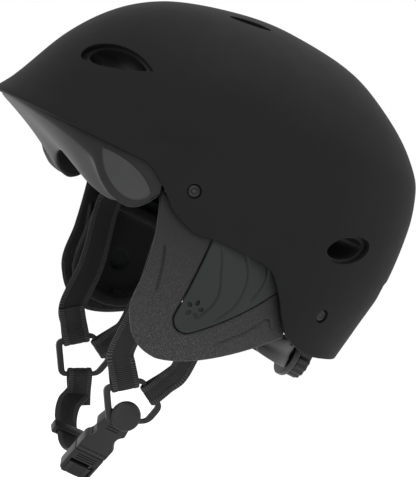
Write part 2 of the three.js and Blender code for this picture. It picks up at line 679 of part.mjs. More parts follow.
function chinStrap() {
  const bar = ringBar(3, 4, RIGHT_SHIFT);
  const opposite = (v) => vec(v.x, -v.y, v.z);
  const end = turnRound(opposite(bar.middle), opposite(bar.out), vec(0, 1, 0)).slice(1);
  const route = [...CHIN_RUN, ...end];
  const side = opposite(bar.along);
  if (side.x < 0) side.negate();
  const across = route.map((_, i) => vec(1, 0, 0).lerp(side, THREE.MathUtils.clamp((i - 3) / 4, 0, 1)));
  return webbing(route, across, 16.5);
}

function strapKeeper() {
  const along = CHIN_RUN[4].clone().sub(CHIN_RUN[2]).normalize();
  const across = vec(1, 0, 0).addScaledVector(along, -along.x).normalize();
  const frame = new THREE.Matrix4().makeBasis(across, along, across.clone().cross(along));
  const outer = solid(new THREE.BoxGeometry(23, 8, 6.2));
  const inner = solid(new THREE.BoxGeometry(18, 12, 3));
  return geometryOf(outer.subtract(inner)).applyMatrix4(frame).translate(...CHIN_RUN[3].toArray());
}

// ---- assembly ----
const object = new THREE.Group();
function add(name, geometry, material) {
  const mesh = new THREE.Mesh(geometry, material);
  mesh.name = name;
  object.add(mesh);
}
function addPair(name, geometry, material) {
  add(`${name}_left`, geometry, material);
  add(`${name}_right`, mirrored(geometry), material);
}

add('outer_shell', outerShell(), MATTE_SHELL);
add('foam_liner', foamLiner(), FOAM);
addPair('temple_inlay', templeInlay(), INLAY);
add('crown_pad', crownPad(), FABRIC);
add('brow_pad', comfortPad(150, 210, -98, -70), FABRIC);
add('nape_pad', comfortPad(-12, 12, -140, -100), FABRIC);
addPair('side_pad', comfortPad(278, 312, -96, -62), FABRIC);
addPair('ear_cover', earCover(), GRAINED);
addPair('ear_insert', earInsert(), SMOOTH_GREY);
addPair('ear_pad', earPad(), FABRIC);

addPair('front_rivet', strapRivet(RIVETS.front), STEEL);
addPair('rear_rivet', strapRivet(RIVETS.rear), STEEL);
addPair('front_washer', rivetWasher(RIVETS.front), STEEL);
addPair('rear_washer', rivetWasher(RIVETS.rear), STEEL);

const FRONT_WAY = [vec(-23, -77, -135), vec(-14, -69, -180)];
const REAR_WAY = [vec(76, -61, -152), vec(50, -64, -168), vec(32, -63, -186)];
const NO_SHIFT = vec(0, 0, 0);
const moved = (points, shift) => points.map((p, i) => p.clone().addScaledVector(shift, (i + 1) / 4));
for (const side of ['left', 'right']) {
  const shift = side === 'left' ? NO_SHIFT : RIGHT_SHIFT;
  const place = side === 'left' ? (geometry) => geometry : mirrored;
  add(`strap_ring_${side}`, place(strapRing(shift)), BUCKLE);
  add(`front_strap_${side}`, place(strap(RIVETS.front, moved(FRONT_WAY, shift), ringBar(0, 1, shift),
    WEB.width)), WEBBING);
  add(`rear_strap_${side}`, place(strap(RIVETS.rear, moved(REAR_WAY, shift), ringBar(1, 2, shift),
    WEB.width - 3.5)), WEBBING);
}

add('rear_cradle', rearCradle(), SMOOTH_GREY);
add('dial_housing', dialHousing(), BUCKLE);
add('dial_knob', dialKnob(), BUCKLE);
add('ring_cap', ringCap(), BUCKLE);
add('buckle_housing', buckleHousing(), BUCKLE);
add('buckle_clip', buckleClip(), BUCKLE);
add('release_prong_rear', prong(1), BUCKLE);
add('release_prong_front', prong(-1), BUCKLE);
add('clip_web', clipWeb(), WEBBING);
add('chin_strap', chinStrap(), WEBBING);
add('strap_keeper', strapKeeper(), BUCKLE);

export default object;
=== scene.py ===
"""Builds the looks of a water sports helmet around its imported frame."""
import math

import bmesh
import bpy
from mathutils import Matrix, Vector


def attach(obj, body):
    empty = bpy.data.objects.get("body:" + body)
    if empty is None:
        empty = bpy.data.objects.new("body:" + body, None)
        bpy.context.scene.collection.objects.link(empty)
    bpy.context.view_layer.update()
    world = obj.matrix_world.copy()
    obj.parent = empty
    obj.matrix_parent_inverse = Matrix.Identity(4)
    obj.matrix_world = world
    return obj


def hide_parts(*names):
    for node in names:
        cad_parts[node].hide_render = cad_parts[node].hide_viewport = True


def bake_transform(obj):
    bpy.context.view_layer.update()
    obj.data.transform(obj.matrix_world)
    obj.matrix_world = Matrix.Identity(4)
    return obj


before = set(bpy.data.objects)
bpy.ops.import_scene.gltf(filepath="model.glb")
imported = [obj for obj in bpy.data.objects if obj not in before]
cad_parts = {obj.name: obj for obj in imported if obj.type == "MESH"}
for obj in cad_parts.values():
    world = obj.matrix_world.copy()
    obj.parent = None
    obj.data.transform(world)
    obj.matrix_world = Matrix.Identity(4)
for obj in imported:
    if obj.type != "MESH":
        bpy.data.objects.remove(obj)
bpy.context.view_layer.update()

bl_info = {
    "name": "Water helmet",
    "version": (1, 0, 0),
    "blender": (4, 5, 0),
    "location": "3D View > Sidebar > Helmet",
    "description": "Models a water sports helmet piece by piece around its frame",
    "category": "Add Mesh",
}

MM = 0.001
SIDES = (("left", -1), ("right", 1))
OTHER_SIDE = Matrix.Scale(-1, 4, (0, 1, 0))

# Places and sizes in mm that several pieces share.
MIDDLE_X, CROWN_Z = 10, 22
FRONT_BOXY, REAR_BOXY, CAVITY_BOXY = 2.1, 2.35, 2.2
FOAM_DEPTH = 4.2
CAVITY_TOP, CAVITY_SIZE = 4.4, 104
EAR_X, EAR_Z = 2, -150
DOME_REACH, DOME_BASE, DOME_SWELL = 110, 30, 75
INSERT_X, INSERT_Z, INSERT_RADIUS, INSERT_TOP = 5, -176, 9, -112
FLOWER_X, FLOWER_Z, PETAL_FLOOR = 5, -168, 103.2
PAST_SHELL = 120
CAP_X, CAP_Z = 11, -251
BAND_X, BAND_Z, BAND_RADIUS, BAND_WALL = 51, -169, 58, 3
ARM_Y, ARM_FOOT, ARM_TOP = 33, -163, -118
DIAL_X = 112.4
WELD = 1e-6


# ---------------------------------------------------------------- settings

def length(name, description, default):
    return bpy.props.FloatProperty(
        name=name, description=description, default=default, min=0.0, unit="LENGTH"
    )


def colour(name, description, default):
    return bpy.props.FloatVectorProperty(
        name=name, description=description, default=default, size=4, min=0.0, max=1.0,
        subtype="COLOR",
    )


class HelmetSizes(bpy.types.PropertyGroup):
    """Sizes of the pieces that the frame leaves to the looks."""

    shell_wall: length("Shell wall", "Thickness of the hard shell", 3.0 * MM)
    ear_wall: length("Ear cover wall", "Thickness of the ear covers", 3.0 * MM)
    groove: length("Groove depth", "Depth of the lines in the ear covers", 1.0 * MM)
    web_thick: length("Webbing thickness", "Thickness of the harness webbing", 1.5 * MM)
    web_rib: length("Webbing rib", "Distance between the ribs on the webbing's edges", 1.45 * MM)
    pad_swell: length("Pad swell", "How far a comfort pad may swell", 4.0 * MM)


class HelmetColours(bpy.types.PropertyGroup):
    """Colours of the finishes."""

    shell: colour("Shell", "Matte shell", (0.0075, 0.0075, 0.0076, 1.0))
    foam: colour("Foam", "Foam liner", (0.0095, 0.0096, 0.010, 1.0))
    inlay: colour("Inlay", "Inlays in the foam", (0.030, 0.0303, 0.031, 1.0))
    grained: colour("Ear cover", "Grained plastic", (0.012, 0.012, 0.012, 1.0))
    smooth_grey: colour("Ear insert", "Smooth plastic", (0.017, 0.0205, 0.0197, 1.0))
    fabric: colour("Pad fabric", "Knit on the comfort pads", (0.009, 0.009, 0.0095, 1.0))
    webbing: colour("Webbing", "Harness webbing", (0.0085, 0.0085, 0.0085, 1.0))
    acetal: colour("Buckle plastic", "Buckle, rings and dial", (0.011, 0.011, 0.0113, 1.0))
    cradle: colour("Cradle plastic", "Rear cradle", (0.020, 0.0203, 0.021, 1.0))


def sizes():
    return bpy.context.scene.helmet_sizes


def colours():
    return bpy.context.scene.helmet_colours


# ---------------------------------------------------------------- curves and surfaces

def smooth_curve(points):
    """A curve through (position, value) points that never overshoots them."""
    slope = [(b[1] - a[1]) / (b[0] - a[0]) for a, b in zip(points, points[1:])]
    last = len(points) - 1

    def tangent(i):
        if i == 0:
            return slope[0]
        if i == last:
            return slope[-1]
        product = slope[i - 1] * slope[i]
        return 0.0 if product <= 0 else 2 * product / (slope[i - 1] + slope[i])

    tangents = [tangent(i) for i in range(last + 1)]

    def value(x):
        if x <= points[0][0]:
            return points[0][1]
        if x >= points[-1][0]:
            return points[-1][1]
        i = next(k for k in range(last) if points[k + 1][0] > x)
        width = points[i + 1][0] - points[i][0]
        t = (x - points[i][0]) / width
        h = t * t * (3 - 2 * t)
        rise = tangents[i] * width * t * (1 - t) ** 2
        fall = tangents[i + 1] * width * t * t * (t - 1)
        return points[i][1] * (1 - h) + points[i + 1][1] * h + rise + fall

    return value


# Reach from the pole in mm, against the square root of the depth below the crown in mm.
front_reach = smooth_curve([(0, 0), (2.2, 39), (4.5, 85), (6.2, 110), (8.2, 132), (10.4, 151), (11, 159)])
rear_reach = smooth_curve([(0, 0), (1.7, 43), (4.1, 79), (6.2, 111), (7.35, 124), (9.1, 132), (10.9, 134.5),
                           (12.5, 129.5), (13.4, 126)])
side_reach = smooth_curve([(0, 0), (3, 49), (5.5, 80), (7.75, 98), (10, 106), (11.4, 107), (13.6, 103)])
shell_edge = smooth_curve([(-150, -99), (-66, -99), (-49, -108), (-34, -120), (-16, -125.5), (-2, -123.5),
                           (27, -123), (37, -124), (53, -137), (63, -149), (75, -159), (95, -163),
                           (116, -160), (143, -155)])
liner_edge = smooth_curve([(-150, -100), (-125, -103), (-98, -110), (-85, -123), (-74, -130), (-64, -132),
                           (-56, -128), (-47, -113), (-40, -109), (-8, -110), (37, -112), (53, -127),
                           (63, -139), (75, -147), (95, -151), (143, -146)])


def radial(phi, front, rear, side, boxy):
    c, s = math.cos(phi), math.sin(phi)
    lengthways = rear if c > 0 else front
    return (abs(c / lengthways) ** boxy + abs(s / side) ** boxy) ** (-1 / boxy)


def hull(phi, root):
    """A point of the shell's outer surface, in mm."""
    if root < 1e-6:
        return Vector((MIDDLE_X, 0, CROWN_Z))
    boxy = REAR_BOXY if math.cos(phi) > 0 else FRONT_BOXY
    r = radial(phi, front_reach(root), rear_reach(root), side_reach(root), boxy)
    return Vector((MIDDLE_X + r * math.cos(phi), r * math.sin(phi), CROWN_Z - root * root))


def hull_normal(phi, root):
    if root < 0.05:
        return Vector((0, 0, 1))
    step = 0.01
    along = hull(phi + step, root) - hull(phi - step, root)
    down = hull(phi, root + step) - hull(phi, root - step)
    normal = along.cross(down).normalized()
    out = hull(phi, root) - Vector((MIDDLE_X, 0, -100))
    return normal if normal.dot(out) > 0 else -normal


def inset(phi, root, depth):
    return hull(phi, root) - hull_normal(phi, root) * depth


def root_at_edge(phi, edge):
    """Where the surface, followed down one azimuth, meets an edge given as height against x."""
    root = 11.0
    for _ in range(40):
        root = 0.5 * (root + math.sqrt(CROWN_Z - edge(hull(phi, root).x)))
    return root


def side_point(x, z, depth, side=-1):
    """The point of the shell's surface seen at (x, z) from the side, moved in by a depth, in mm."""
    root, ahead = math.sqrt(CROWN_Z - z), x - MIDDLE_X
    reach = front_reach(root) if ahead < 0 else rear_reach(root)
    boxy = REAR_BOXY if ahead > 0 else FRONT_BOXY
    share = max(0.0, 1 - abs(ahead / reach) ** boxy)
    y = side_reach(root) * share ** (1 / boxy)
    point = inset(math.atan2(y, ahead), root, depth)
    return Vector((point.x, point.y * side, point.z))


def cavity(phi, height):
    """A point of the foam's inner surface at a height, in mm."""
    up = max(0.0, height - CAVITY_TOP + CAVITY_SIZE)
    share = math.sqrt(max(0.0, 1 - (up / CAVITY_SIZE) ** 2))
    r = share * radial(phi, 100, 112, 81, CAVITY_BOXY) if share > 1e-6 else 0.0
    return Vector((MIDDLE_X + r * math.cos(phi), r * math.sin(phi), height))


def ear_dome(x, z, depth, side=-1):
    """The point of an ear cover's dome at (x, z), moved in by a depth, in mm."""
    dx, dz = (x - EAR_X) / DOME_REACH, (z - EAR_Z) / DOME_REACH
    y = DOME_BASE + DOME_SWELL * math.sqrt(max(0.0, 1 - dx * dx - dz * dz))
    normal = Vector((dx / DOME_REACH, (y - DOME_BASE) / DOME_SWELL ** 2, dz / DOME_REACH)).normalized()
    point = Vector((x, y, z)) - normal * depth
    return Vector((point.x, point.y * side, point.z))


def bezier(a, b, c, d, steps):
    return [
        tuple(
            a[k] * (1 - t) ** 3 + 3 * b[k] * t * (1 - t) ** 2 + 3 * c[k] * t * t * (1 - t) + d[k] * t ** 3
            for k in range(len(a))
        )
        for t in (i / steps for i in range(steps))
    ]


def spline(points, steps):
    """Points on a smooth curve through the given vectors, ends included."""
    padded = [2 * points[0] - points[1], *points, 2 * points[-1] - points[-2]]
    out = []
    for i in range(1, len(padded) - 2):
        p = padded[i - 1:i + 3]
        knots = [0.0]
        for a, b in zip(p, p[1:]):
            knots.append(knots[-1] + max(1e-6, (b - a).length) ** 0.5)
        for k in range(steps):
            t = knots[1] + (knots[2] - knots[1]) * k / steps
            level = [(p[j] * (knots[j + 1] - t) + p[j + 1] * (t - knots[j])) / (knots[j + 1] - knots[j])
                     for j in range(3)]
            level = [(level[j] * (knots[j + 2] - t) + level[j + 1] * (t - knots[j]))
                     / (knots[j + 2] - knots[j]) for j in range(2)]
            out.append((level[0] * (knots[2] - t) + level[1] * (t - knots[1])) / (knots[2] - knots[1]))
    out.append(points[-1].copy())
    return out


def spaced(points, step):
    """The same path with its points an even step apart."""
    total = sum((b - a).length for a, b in zip(points, points[1:]))
    count = max(2, round(total / step))
    gap = total / count
    out, travelled, target = [points[0].copy()], 0.0, gap
    for a, b in zip(points, points[1:]):
        span = (b - a).length
        while span > 0 and travelled + span >= target - 1e-9 and len(out) < count:
            out.append(a.lerp(b, (target - travelled) / span))
            target += gap
        travelled += span
    out.append(points[-1].copy())
    return out


def closed_loop(points, count):
    """A closed outline of 2D points, resampled to an even spacing."""
    ring = [Vector((p[0], p[1], 0)) for p in points]
    ring.append(ring[0])
    step = sum((b - a).length for a, b in zip(ring, ring[1:])) / count
    return [(p.x, p.y) for p in spaced(ring, step)[:-1]]


def smoothstep(low, high, x):
    t = min(1.0, max(0.0, (x - low) / (high - low)))
    return t * t * (3 - 2 * t)


def distance_to_path(p, path):
    """Distance in 2D from a point to a polyline, and how far along it the nearest point is, 0 to 1."""
    best, where = 1e9, 0.0
    for i, (a, b) in enumerate(zip(path, path[1:])):
        ax, ay, bx, by = a[0], a[1], b[0] - a[0], b[1] - a[1]
        span = bx * bx + by * by
        t = min(1.0, max(0.0, ((p[0] - ax) * bx + (p[1] - ay) * by) / span)) if span else 0.0
        d = math.hypot(p[0] - ax - t * bx, p[1] - ay - t * by)
        if d < best:
            best, where = d, (i + t) / (len(path) - 1)
    return best, where


# ---------------------------------------------------------------- modelling helpers

def deselect():
    if bpy.context.object and bpy.context.object.mode != "OBJECT":
        bpy.ops.object.mode_set(mode="OBJECT")
    bpy.ops.object.select_all(action="DESELECT")


def activate(piece):
    deselect()
    piece.select_set(True)
    bpy.context.view_layer.objects.active = piece


def edit(piece):
    activate(piece)
    bpy.ops.object.mode_set(mode="EDIT")
    bpy.ops.mesh.select_all(action="SELECT")


def leave_edit():
    bpy.ops.object.mode_set(mode="OBJECT")


def named(name):
    """Names the primitive that was just added, and its mesh."""
    piece = bpy.context.object
    piece.name = name
    piece.data.name = name
    return piece


def flip_faces(piece):
    edit(piece)
    bpy.ops.mesh.flip_normals()
    leave_edit()


def close_ends(piece):
    """Fills the open ends of a tube-like piece."""
    edit(piece)
    bpy.ops.mesh.remove_doubles(threshold=WELD)
    bpy.ops.mesh.select_all(action="DESELECT")
    bpy.ops.mesh.select_non_manifold()
    bpy.ops.mesh.fill_holes(sides=0)
    leave_edit()
    weld_and_turn_out(piece)


def modify(piece, kind, **settings):
    """Adds a modifier with its settings and applies it."""
    activate(piece)
    modifier = piece.modifiers.new(kind.lower(), kind)
    for key, value in settings.items():
        setattr(modifier, key, value)
    bpy.ops.object.modifier_apply(modifier=modifier.name)


def weld_and_turn_out(piece, distance=WELD):
    """Merges doubled points and turns every face outwards."""
    edit(piece)
    bpy.ops.mesh.remove_doubles(threshold=distance)
    bpy.ops.mesh.dissolve_degenerate(threshold=distance)
    bpy.ops.mesh.select_all(action="SELECT")
    bpy.ops.mesh.normals_make_consistent(inside=False)
    leave_edit()
    shape = bmesh.new()
    shape.from_mesh(piece.data)
    inside_out = shape.calc_volume(signed=True) < 0
    shape.free()
    if inside_out:
        flip_faces(piece)


def sheet_of(name, nu, nv, place):
    """A grid primitive whose points are moved to place(u, v), given in mm."""
    deselect()
    bpy.ops.mesh.primitive_grid_add(x_subdivisions=nu, y_subdivisions=nv, size=1)
    piece = named(name)
    for vertex in piece.data.vertices:
        vertex.co = place(vertex.co.x + 0.5, vertex.co.y + 0.5) * MM
    return piece


def patch_in(name, outline, place, rings, around):
    """A patch inside a 2D outline: its points run from the middle out to the outline."""
    edge = closed_loop(outline, around)
    middle = (sum(p[0] for p in edge) / around, sum(p[1] for p in edge) / around)

    def at(u, v):
        p = edge[round(u * around) % around]
        return place(middle[0] + (p[0] - middle[0]) * v, middle[1] + (p[1] - middle[1]) * v)

    piece = sheet_of(name, around, rings, at)
    weld_and_turn_out(piece)
    return piece


def plate(name, outline, thick, bevel=0.0, segments=3, holes=()):
    """An outline in mm, filled flat, extruded to a thickness about z = 0, with rounded edges."""
    outline = [p for p, q in zip(outline, outline[1:] + outline[:1]) if math.dist(p, q) > 1e-3]
    if sum(p[0] * q[1] - q[0] * p[1] for p, q in zip(outline, outline[1:] + outline[:1])) < 0:
        outline.reverse()
    deselect()
    bpy.ops.mesh.primitive_circle_add(vertices=len(outline), radius=1, fill_type="NGON")
    piece = named(name)
    for vertex, p in zip(piece.data.vertices, outline):
        vertex.co = Vector((p[0], p[1], -thick / 2)) * MM
    edit(piece)
    bpy.ops.mesh.extrude_region_move(TRANSFORM_OT_translate={"value": (0, 0, thick * MM)})
    leave_edit()
    weld_and_turn_out(piece)
    for hole in holes:
        cut(piece, hole)
    if bevel:
        modify(piece, "BEVEL", width=bevel * MM, segments=segments, limit_method="ANGLE",
               angle_limit=math.radians(35), harden_normals=False)
    return piece


def rod(name, radius, start, end, vertices=32, bevel=0.0):
    """A round bar between two points in mm."""
    start, end = Vector(start) * MM, Vector(end) * MM
    axis = end - start
    deselect()
    bpy.ops.mesh.primitive_cylinder_add(vertices=vertices, radius=radius * MM, depth=axis.length)
    piece = named(name)
    turn = Vector((0, 0, 1)).rotation_difference(axis.normalized()).to_matrix().to_4x4()
    piece.data.transform(Matrix.Translation((start + end) / 2) @ turn)
    if bevel:
        modify(piece, "BEVEL", width=bevel * MM, segments=3, limit_method="ANGLE",
               angle_limit=math.radians(35))
    return piece


def turned(name, profile, origin, axis, steps=48):
    """A profile of (radius, height) in mm, spun about an axis through the origin."""
    def at(u, v):
        r, h = profile[round(v * (len(profile) - 1))]
        phi = 2 * math.pi * (round(u * steps) % steps) / steps
        return Vector((r * math.cos(phi), r * math.sin(phi), h))

    piece = sheet_of(name, steps, len(profile) - 1, at)
    turn = Vector((0, 0, 1)).rotation_difference(Vector(axis).normalized()).to_matrix().to_4x4()
    piece.data.transform(Matrix.Translation(Vector(origin) * MM) @ turn)
    weld_and_turn_out(piece)
    return piece


def cut(piece, cutter, operation="DIFFERENCE"):
    """Cuts a piece with another, which is then removed."""
    modify(piece, "BOOLEAN", object=cutter, operation=operation, solver="MANIFOLD")
    bpy.data.objects.remove(cutter)


def join_into(piece, others):
    activate(piece)
    for other in others:
        other.select_set(True)
    bpy.ops.object.join()
    return piece


def mirror_copy(piece, name):
    """The same piece on the other side of the middle plane."""
    copy = piece.copy()
    copy.data = piece.data.copy()
    bpy.context.scene.collection.objects.link(copy)
    copy.name = name
    copy.data.name = name
    copy.data.transform(OTHER_SIDE)
    flip_faces(copy)
    return copy


def turn_frame(origin, x_axis, y_axis):
    """The matrix that puts a flat-drawn piece at an origin in mm with its x and y along two axes."""
    x = Vector(x_axis).normalized()
    z = x.cross(Vector(y_axis)).normalized()
    y = z.cross(x)
    matrix = Matrix((x, y, z)).transposed().to_4x4()
    matrix.translation = Vector(origin) * MM
    return matrix


def finished(piece, body, material, replaced, angle=35):
    """Gives a piece its finish and its body if it rides one, and hides the frame nodes that it stands for."""
    activate(piece)
    bpy.ops.object.shade_smooth_by_angle(angle=math.radians(angle))
    piece.data.materials.clear()
    piece.data.materials.append(material)
    if body:
        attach(piece, body)
    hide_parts(*replaced)
    return piece


# ---------------------------------------------------------------- finishes

def new_finish(name, base, roughness, specular=0.5, **sockets):
    """A material with its shader's fixed values set on the shader's own sockets."""
    material = bpy.data.materials.new(name)
    material.use_nodes = True
    nodes, links = material.node_tree.nodes, material.node_tree.links
    shader = nodes["Principled BSDF"]
    shader.inputs["Base Color"].default_value = base
    shader.inputs["Roughness"].default_value = roughness
    shader.inputs["Specular IOR Level"].default_value = specular
    for key, value in sockets.items():
        shader.inputs[key.replace("_", " ")].default_value = value
    return material, nodes, links, shader


def node(nodes, kind, settings=None, **inputs):
    """A shader node with its settings and the values of its inputs."""
    made = nodes.new(kind)
    for key, value in (settings or {}).items():
        setattr(made, key, value)
    for key, value in inputs.items():
        made.inputs[key.replace("_", " ")].default_value = value
    return made


def place_nodes(nodes, links, scale=(1, 1, 1), source="Object"):
    """Texture coordinates in metres, through a mapping."""
    where = node(nodes, "ShaderNodeTexCoord")
    mapping = node(nodes, "ShaderNodeMapping", Scale=scale)
    links.new(where.outputs[source], mapping.inputs["Vector"])
    return mapping.outputs["Vector"]


def noise_at(nodes, links, vector, scale, detail=2.0, roughness=0.5):
    made = node(nodes, "ShaderNodeTexNoise", Scale=scale, Detail=detail, Roughness=roughness)
    links.new(vector, made.inputs["Vector"])
    return made.outputs["Fac"]


def ramp(nodes, links, factor, stops):
    """A colour ramp through (position, colour) stops."""
    made = node(nodes, "ShaderNodeValToRGB")
    elements = made.color_ramp.elements
    while len(elements) < len(stops):
        elements.new(0.5)
    for element, (position, value) in zip(elements, stops):
        element.position = position
        element.color = value if len(value) == 4 else (*value, 1.0)
    links.new(factor, made.inputs["Fac"])
    return made.outputs["Color"]


def maths(nodes, links, operation, a, b=None, clamp=False):
    made = node(nodes, "ShaderNodeMath", {"operation": operation, "use_clamp": clamp})
    for i, value in enumerate((a, b)):
        if value is None:
            continue
        if isinstance(value, (int, float)):
            made.inputs[i].default_value = value
        else:
            links.new(value, made.inputs[i])
    return made.outputs["Value"]


def bump(nodes, links, shader, height, depth, strength=1.0, before=None):
    """A bump of a real depth in metres, chained after an earlier one."""
    made = node(nodes, "ShaderNodeBump", Strength=strength, Distance=depth)
    links.new(height, made.inputs["Height"])
    if before:
        links.new(before, made.inputs["Normal"])
    links.new(made.outputs["Normal"], shader.inputs["Normal"])
    return made.outputs["Normal"]


def shade_of(base, factor):
    return (base[0] * factor, base[1] * factor, base[2] * factor, 1.0)


def moulded_finish(name, base, roughness, specular, texture_scale, depth):
    """Moulded plastic: slight cloudiness, handling marks in the gloss, and a fine surface texture."""
    material, nodes, links, shader = new_finish(name, base, roughness, specular)
    vector = place_nodes(nodes, links)
    cloud = noise_at(nodes, links, vector, 14.0, 3.0)
    links.new(ramp(nodes, links, cloud, [(0.3, shade_of(base, 0.92)), (0.7, shade_of(base, 1.10))]),
              shader.inputs["Base Color"])
    marks = noise_at(nodes, links, vector, 90.0, 5.0, 0.62)
    gloss = maths(nodes, links, "MULTIPLY_ADD", marks, 0.14)
    gloss.node.inputs[2].default_value = roughness - 0.07
    links.new(gloss, shader.inputs["Roughness"])
    fine = noise_at(nodes, links, vector, texture_scale, 2.0)
    bump(nodes, links, shader, fine, depth, 0.6)
    return material


def shell_finish():
    return moulded_finish("matte_shell", tuple(colours().shell), 0.68, 0.10, 1400.0, 0.00004)


def smooth_plastic_finish():
    return moulded_finish("smooth_plastic", tuple(colours().smooth_grey), 0.6, 0.15, 2200.0, 0.00002)


def acetal_finish():
    return moulded_finish("acetal", tuple(colours().acetal), 0.40, 0.25, 1800.0, 0.00002)


def cradle_finish():
    return moulded_finish("cradle_plastic", tuple(colours().cradle), 0.45, 0.25, 1500.0, 0.00003)


def blackened_finish():
    material, nodes, links, shader = new_finish("blackened_steel", (0.02, 0.02, 0.02, 1), 0.45, 0.5,
                                                Metallic=0.6)
    vector = place_nodes(nodes, links)
    wear_and_painted_light = noise_at(nodes, links, vector, 600.0, 4.0)
    links.new(ramp(nodes, links, wear_and_painted_light, [(0.45, (0.008, 0.008, 0.008)), (0.75, (0.03, 0.03, 0.03))]),
              shader.inputs["Base Color"])
    bump(nodes, links, shader, wear_and_painted_light, 0.00003)
    return material


def foam_finish(name, base, specular):
    """Closed-cell foam: a skinned surface with faint beads and pores."""
    material, nodes, links, shader = new_finish(name, base, 0.5, specular)
    vector = place_nodes(nodes, links)
    cells = node(nodes, "ShaderNodeTexVoronoi", {"feature": "F1"}, Scale=520.0)
    links.new(vector, cells.inputs["Vector"])
    cloud = noise_at(nodes, links, vector, 30.0, 3.0)
    links.new(ramp(nodes, links, cloud, [(0.3, shade_of(base, 0.88)), (0.7, shade_of(base, 1.12))]),
              shader.inputs["Base Color"])
    bump(nodes, links, shader, cells.outputs["Distance"], 0.00005, 0.5)
    return material


def grained_finish():
    """Spark-grained plastic: fine raised grains, painted darker towards the top as painted shade, whose tips
    are painted paler towards the lower edge as painted light.
    """
    base = tuple(colours().grained)
    material, nodes, links, shader = new_finish("grained_plastic", base, 0.55, 0.25)
    vector = place_nodes(nodes, links)
    grain = noise_at(nodes, links, vector, 2300.0, 3.0, 0.7)
    coarse = noise_at(nodes, links, vector, 1100.0, 2.0, 0.6)
    mixed = maths(nodes, links, "ADD", maths(nodes, links, "MULTIPLY", grain, 0.65),
                  maths(nodes, links, "MULTIPLY", coarse, 0.35))
    height = node(nodes, "ShaderNodeSeparateXYZ")
    links.new(vector, height.inputs["Vector"])
    # painted shade and light: 0.05 at the top of the ear cover, rising to 0.85 at its lower edge
    fall = node(nodes, "ShaderNodeMapRange", {"clamp": True},
                From_Min=-0.128, From_Max=-0.208, To_Min=0.05, To_Max=0.85)
    links.new(height.outputs["Z"], fall.inputs["Value"])
    tips = ramp(nodes, links, mixed, [(0.47, (0.0, 0.0, 0.0)), (0.62, (1.0, 1.0, 1.0))])
    # painted light on the grain tips, strongest towards the lower edge
    wear_and_painted_light = maths(nodes, links, "MULTIPLY", tips, fall.outputs["Result"], clamp=True)
    # painted shade at 0.6 times the base colour, painted highlights on the grain tips up to 6 times it
    links.new(ramp(nodes, links, wear_and_painted_light, [(0.0, shade_of(base, 0.6)), (1.0, shade_of(base, 6.0))]),
              shader.inputs["Base Color"])
    bump(nodes, links, shader, mixed, 0.00028, 1.0)
    return material


def fabric_finish(name, base, scale=1.0):
    """Brushed knit: rows of small loops, a soft fuzz and a slight sheen."""
    material, nodes, links, shader = new_finish(name, base, 0.85, 0.1, Sheen_Weight=0.05)
    vector = place_nodes(nodes, links)
    rows = node(nodes, "ShaderNodeTexWave", {"bands_direction": "Z"}, Scale=260.0 * scale, Distortion=1.5)
    columns = node(nodes, "ShaderNodeTexWave", {"bands_direction": "DIAGONAL"}, Scale=300.0 * scale,
                   Distortion=1.0)
    for wave in (rows, columns):
        links.new(vector, wave.inputs["Vector"])
    loops = maths(nodes, links, "MULTIPLY", rows.outputs["Fac"], columns.outputs["Fac"])
    fuzz = noise_at(nodes, links, vector, 900.0, 4.0, 0.7)
    height = maths(nodes, links, "ADD", loops, maths(nodes, links, "MULTIPLY", fuzz, 0.6))
    links.new(ramp(nodes, links, height, [(0.2, shade_of(base, 0.6)), (1.0, shade_of(base, 1.7))]),
              shader.inputs["Base Color"])
    bump(nodes, links, shader, height, 0.00018, 0.8)
    return material


def webbing_finish():
    """Woven webbing whose UVs are, in metres, the distance in from its edge and the way along it, with
    painted highlights on the rib crests along its edges and painted shade in the hollows between them.
    """
    base = tuple(colours().webbing)
    material, nodes, links, shader = new_finish("webbing", base, 0.6, 0.2)
    vector = place_nodes(nodes, links, source="UV")
    slanted = node(nodes, "ShaderNodeMapping", Rotation=(0, 0, math.radians(35)))
    links.new(vector, slanted.inputs["Vector"])
    twill = node(nodes, "ShaderNodeTexWave", {"bands_direction": "X"}, Scale=430.0, Distortion=0.6,
                 Detail=1.0)
    links.new(slanted.outputs["Vector"], twill.inputs["Vector"])
    threads = noise_at(nodes, links, vector, 2600.0, 2.0)
    weave = maths(nodes, links, "ADD", maths(nodes, links, "MULTIPLY", twill.outputs["Fac"], 0.8),
                  maths(nodes, links, "MULTIPLY", threads, 0.4))
    split = node(nodes, "ShaderNodeSeparateXYZ")
    links.new(vector, split.inputs["Vector"])
    # painted highlights on the crests of the edge ribs and painted shade in the hollows between them, in step
    # with the ribs pressed into the strip
    along = maths(nodes, links, "MULTIPLY", split.outputs["Y"], math.pi / sizes().web_rib)
    ribs = maths(nodes, links, "ABSOLUTE", maths(nodes, links, "SINE", along))
    at_edge = maths(nodes, links, "LESS_THAN", split.outputs["X"], 0.0034)
    mix = node(nodes, "ShaderNodeMix", {"data_type": "RGBA"})
    links.new(at_edge, mix.inputs[0])
    links.new(ramp(nodes, links, weave, [(0.3, shade_of(base, 0.5)), (1.0, shade_of(base, 2.2))]),
              mix.inputs[6])
    # the edge ribs' colour runs from painted shade at 0.4 times the base colour to a painted highlight at 5
    # times it
    links.new(ramp(nodes, links, ribs, [(0.35, shade_of(base, 0.4)), (0.9, shade_of(base, 5.0))]),
              mix.inputs[7])
    links.new(mix.outputs[2], shader.inputs["Base Color"])
    bump(nodes, links, shader, weave, 0.0002, 0.9)
    return material


# ---------------------------------------------------------------- shapes on the helmet

def thicken(piece, thick, inside):
    """Gives an open surface a wall, laid on the side of a point in mm."""
    centre = Vector(inside) * MM
    facing = sum(f.area * f.normal.dot(f.center - centre) for f in piece.data.polygons)
    if facing < 0:
        flip_faces(piece)
    modify(piece, "SOLIDIFY", thickness=thick * MM, offset=-1)


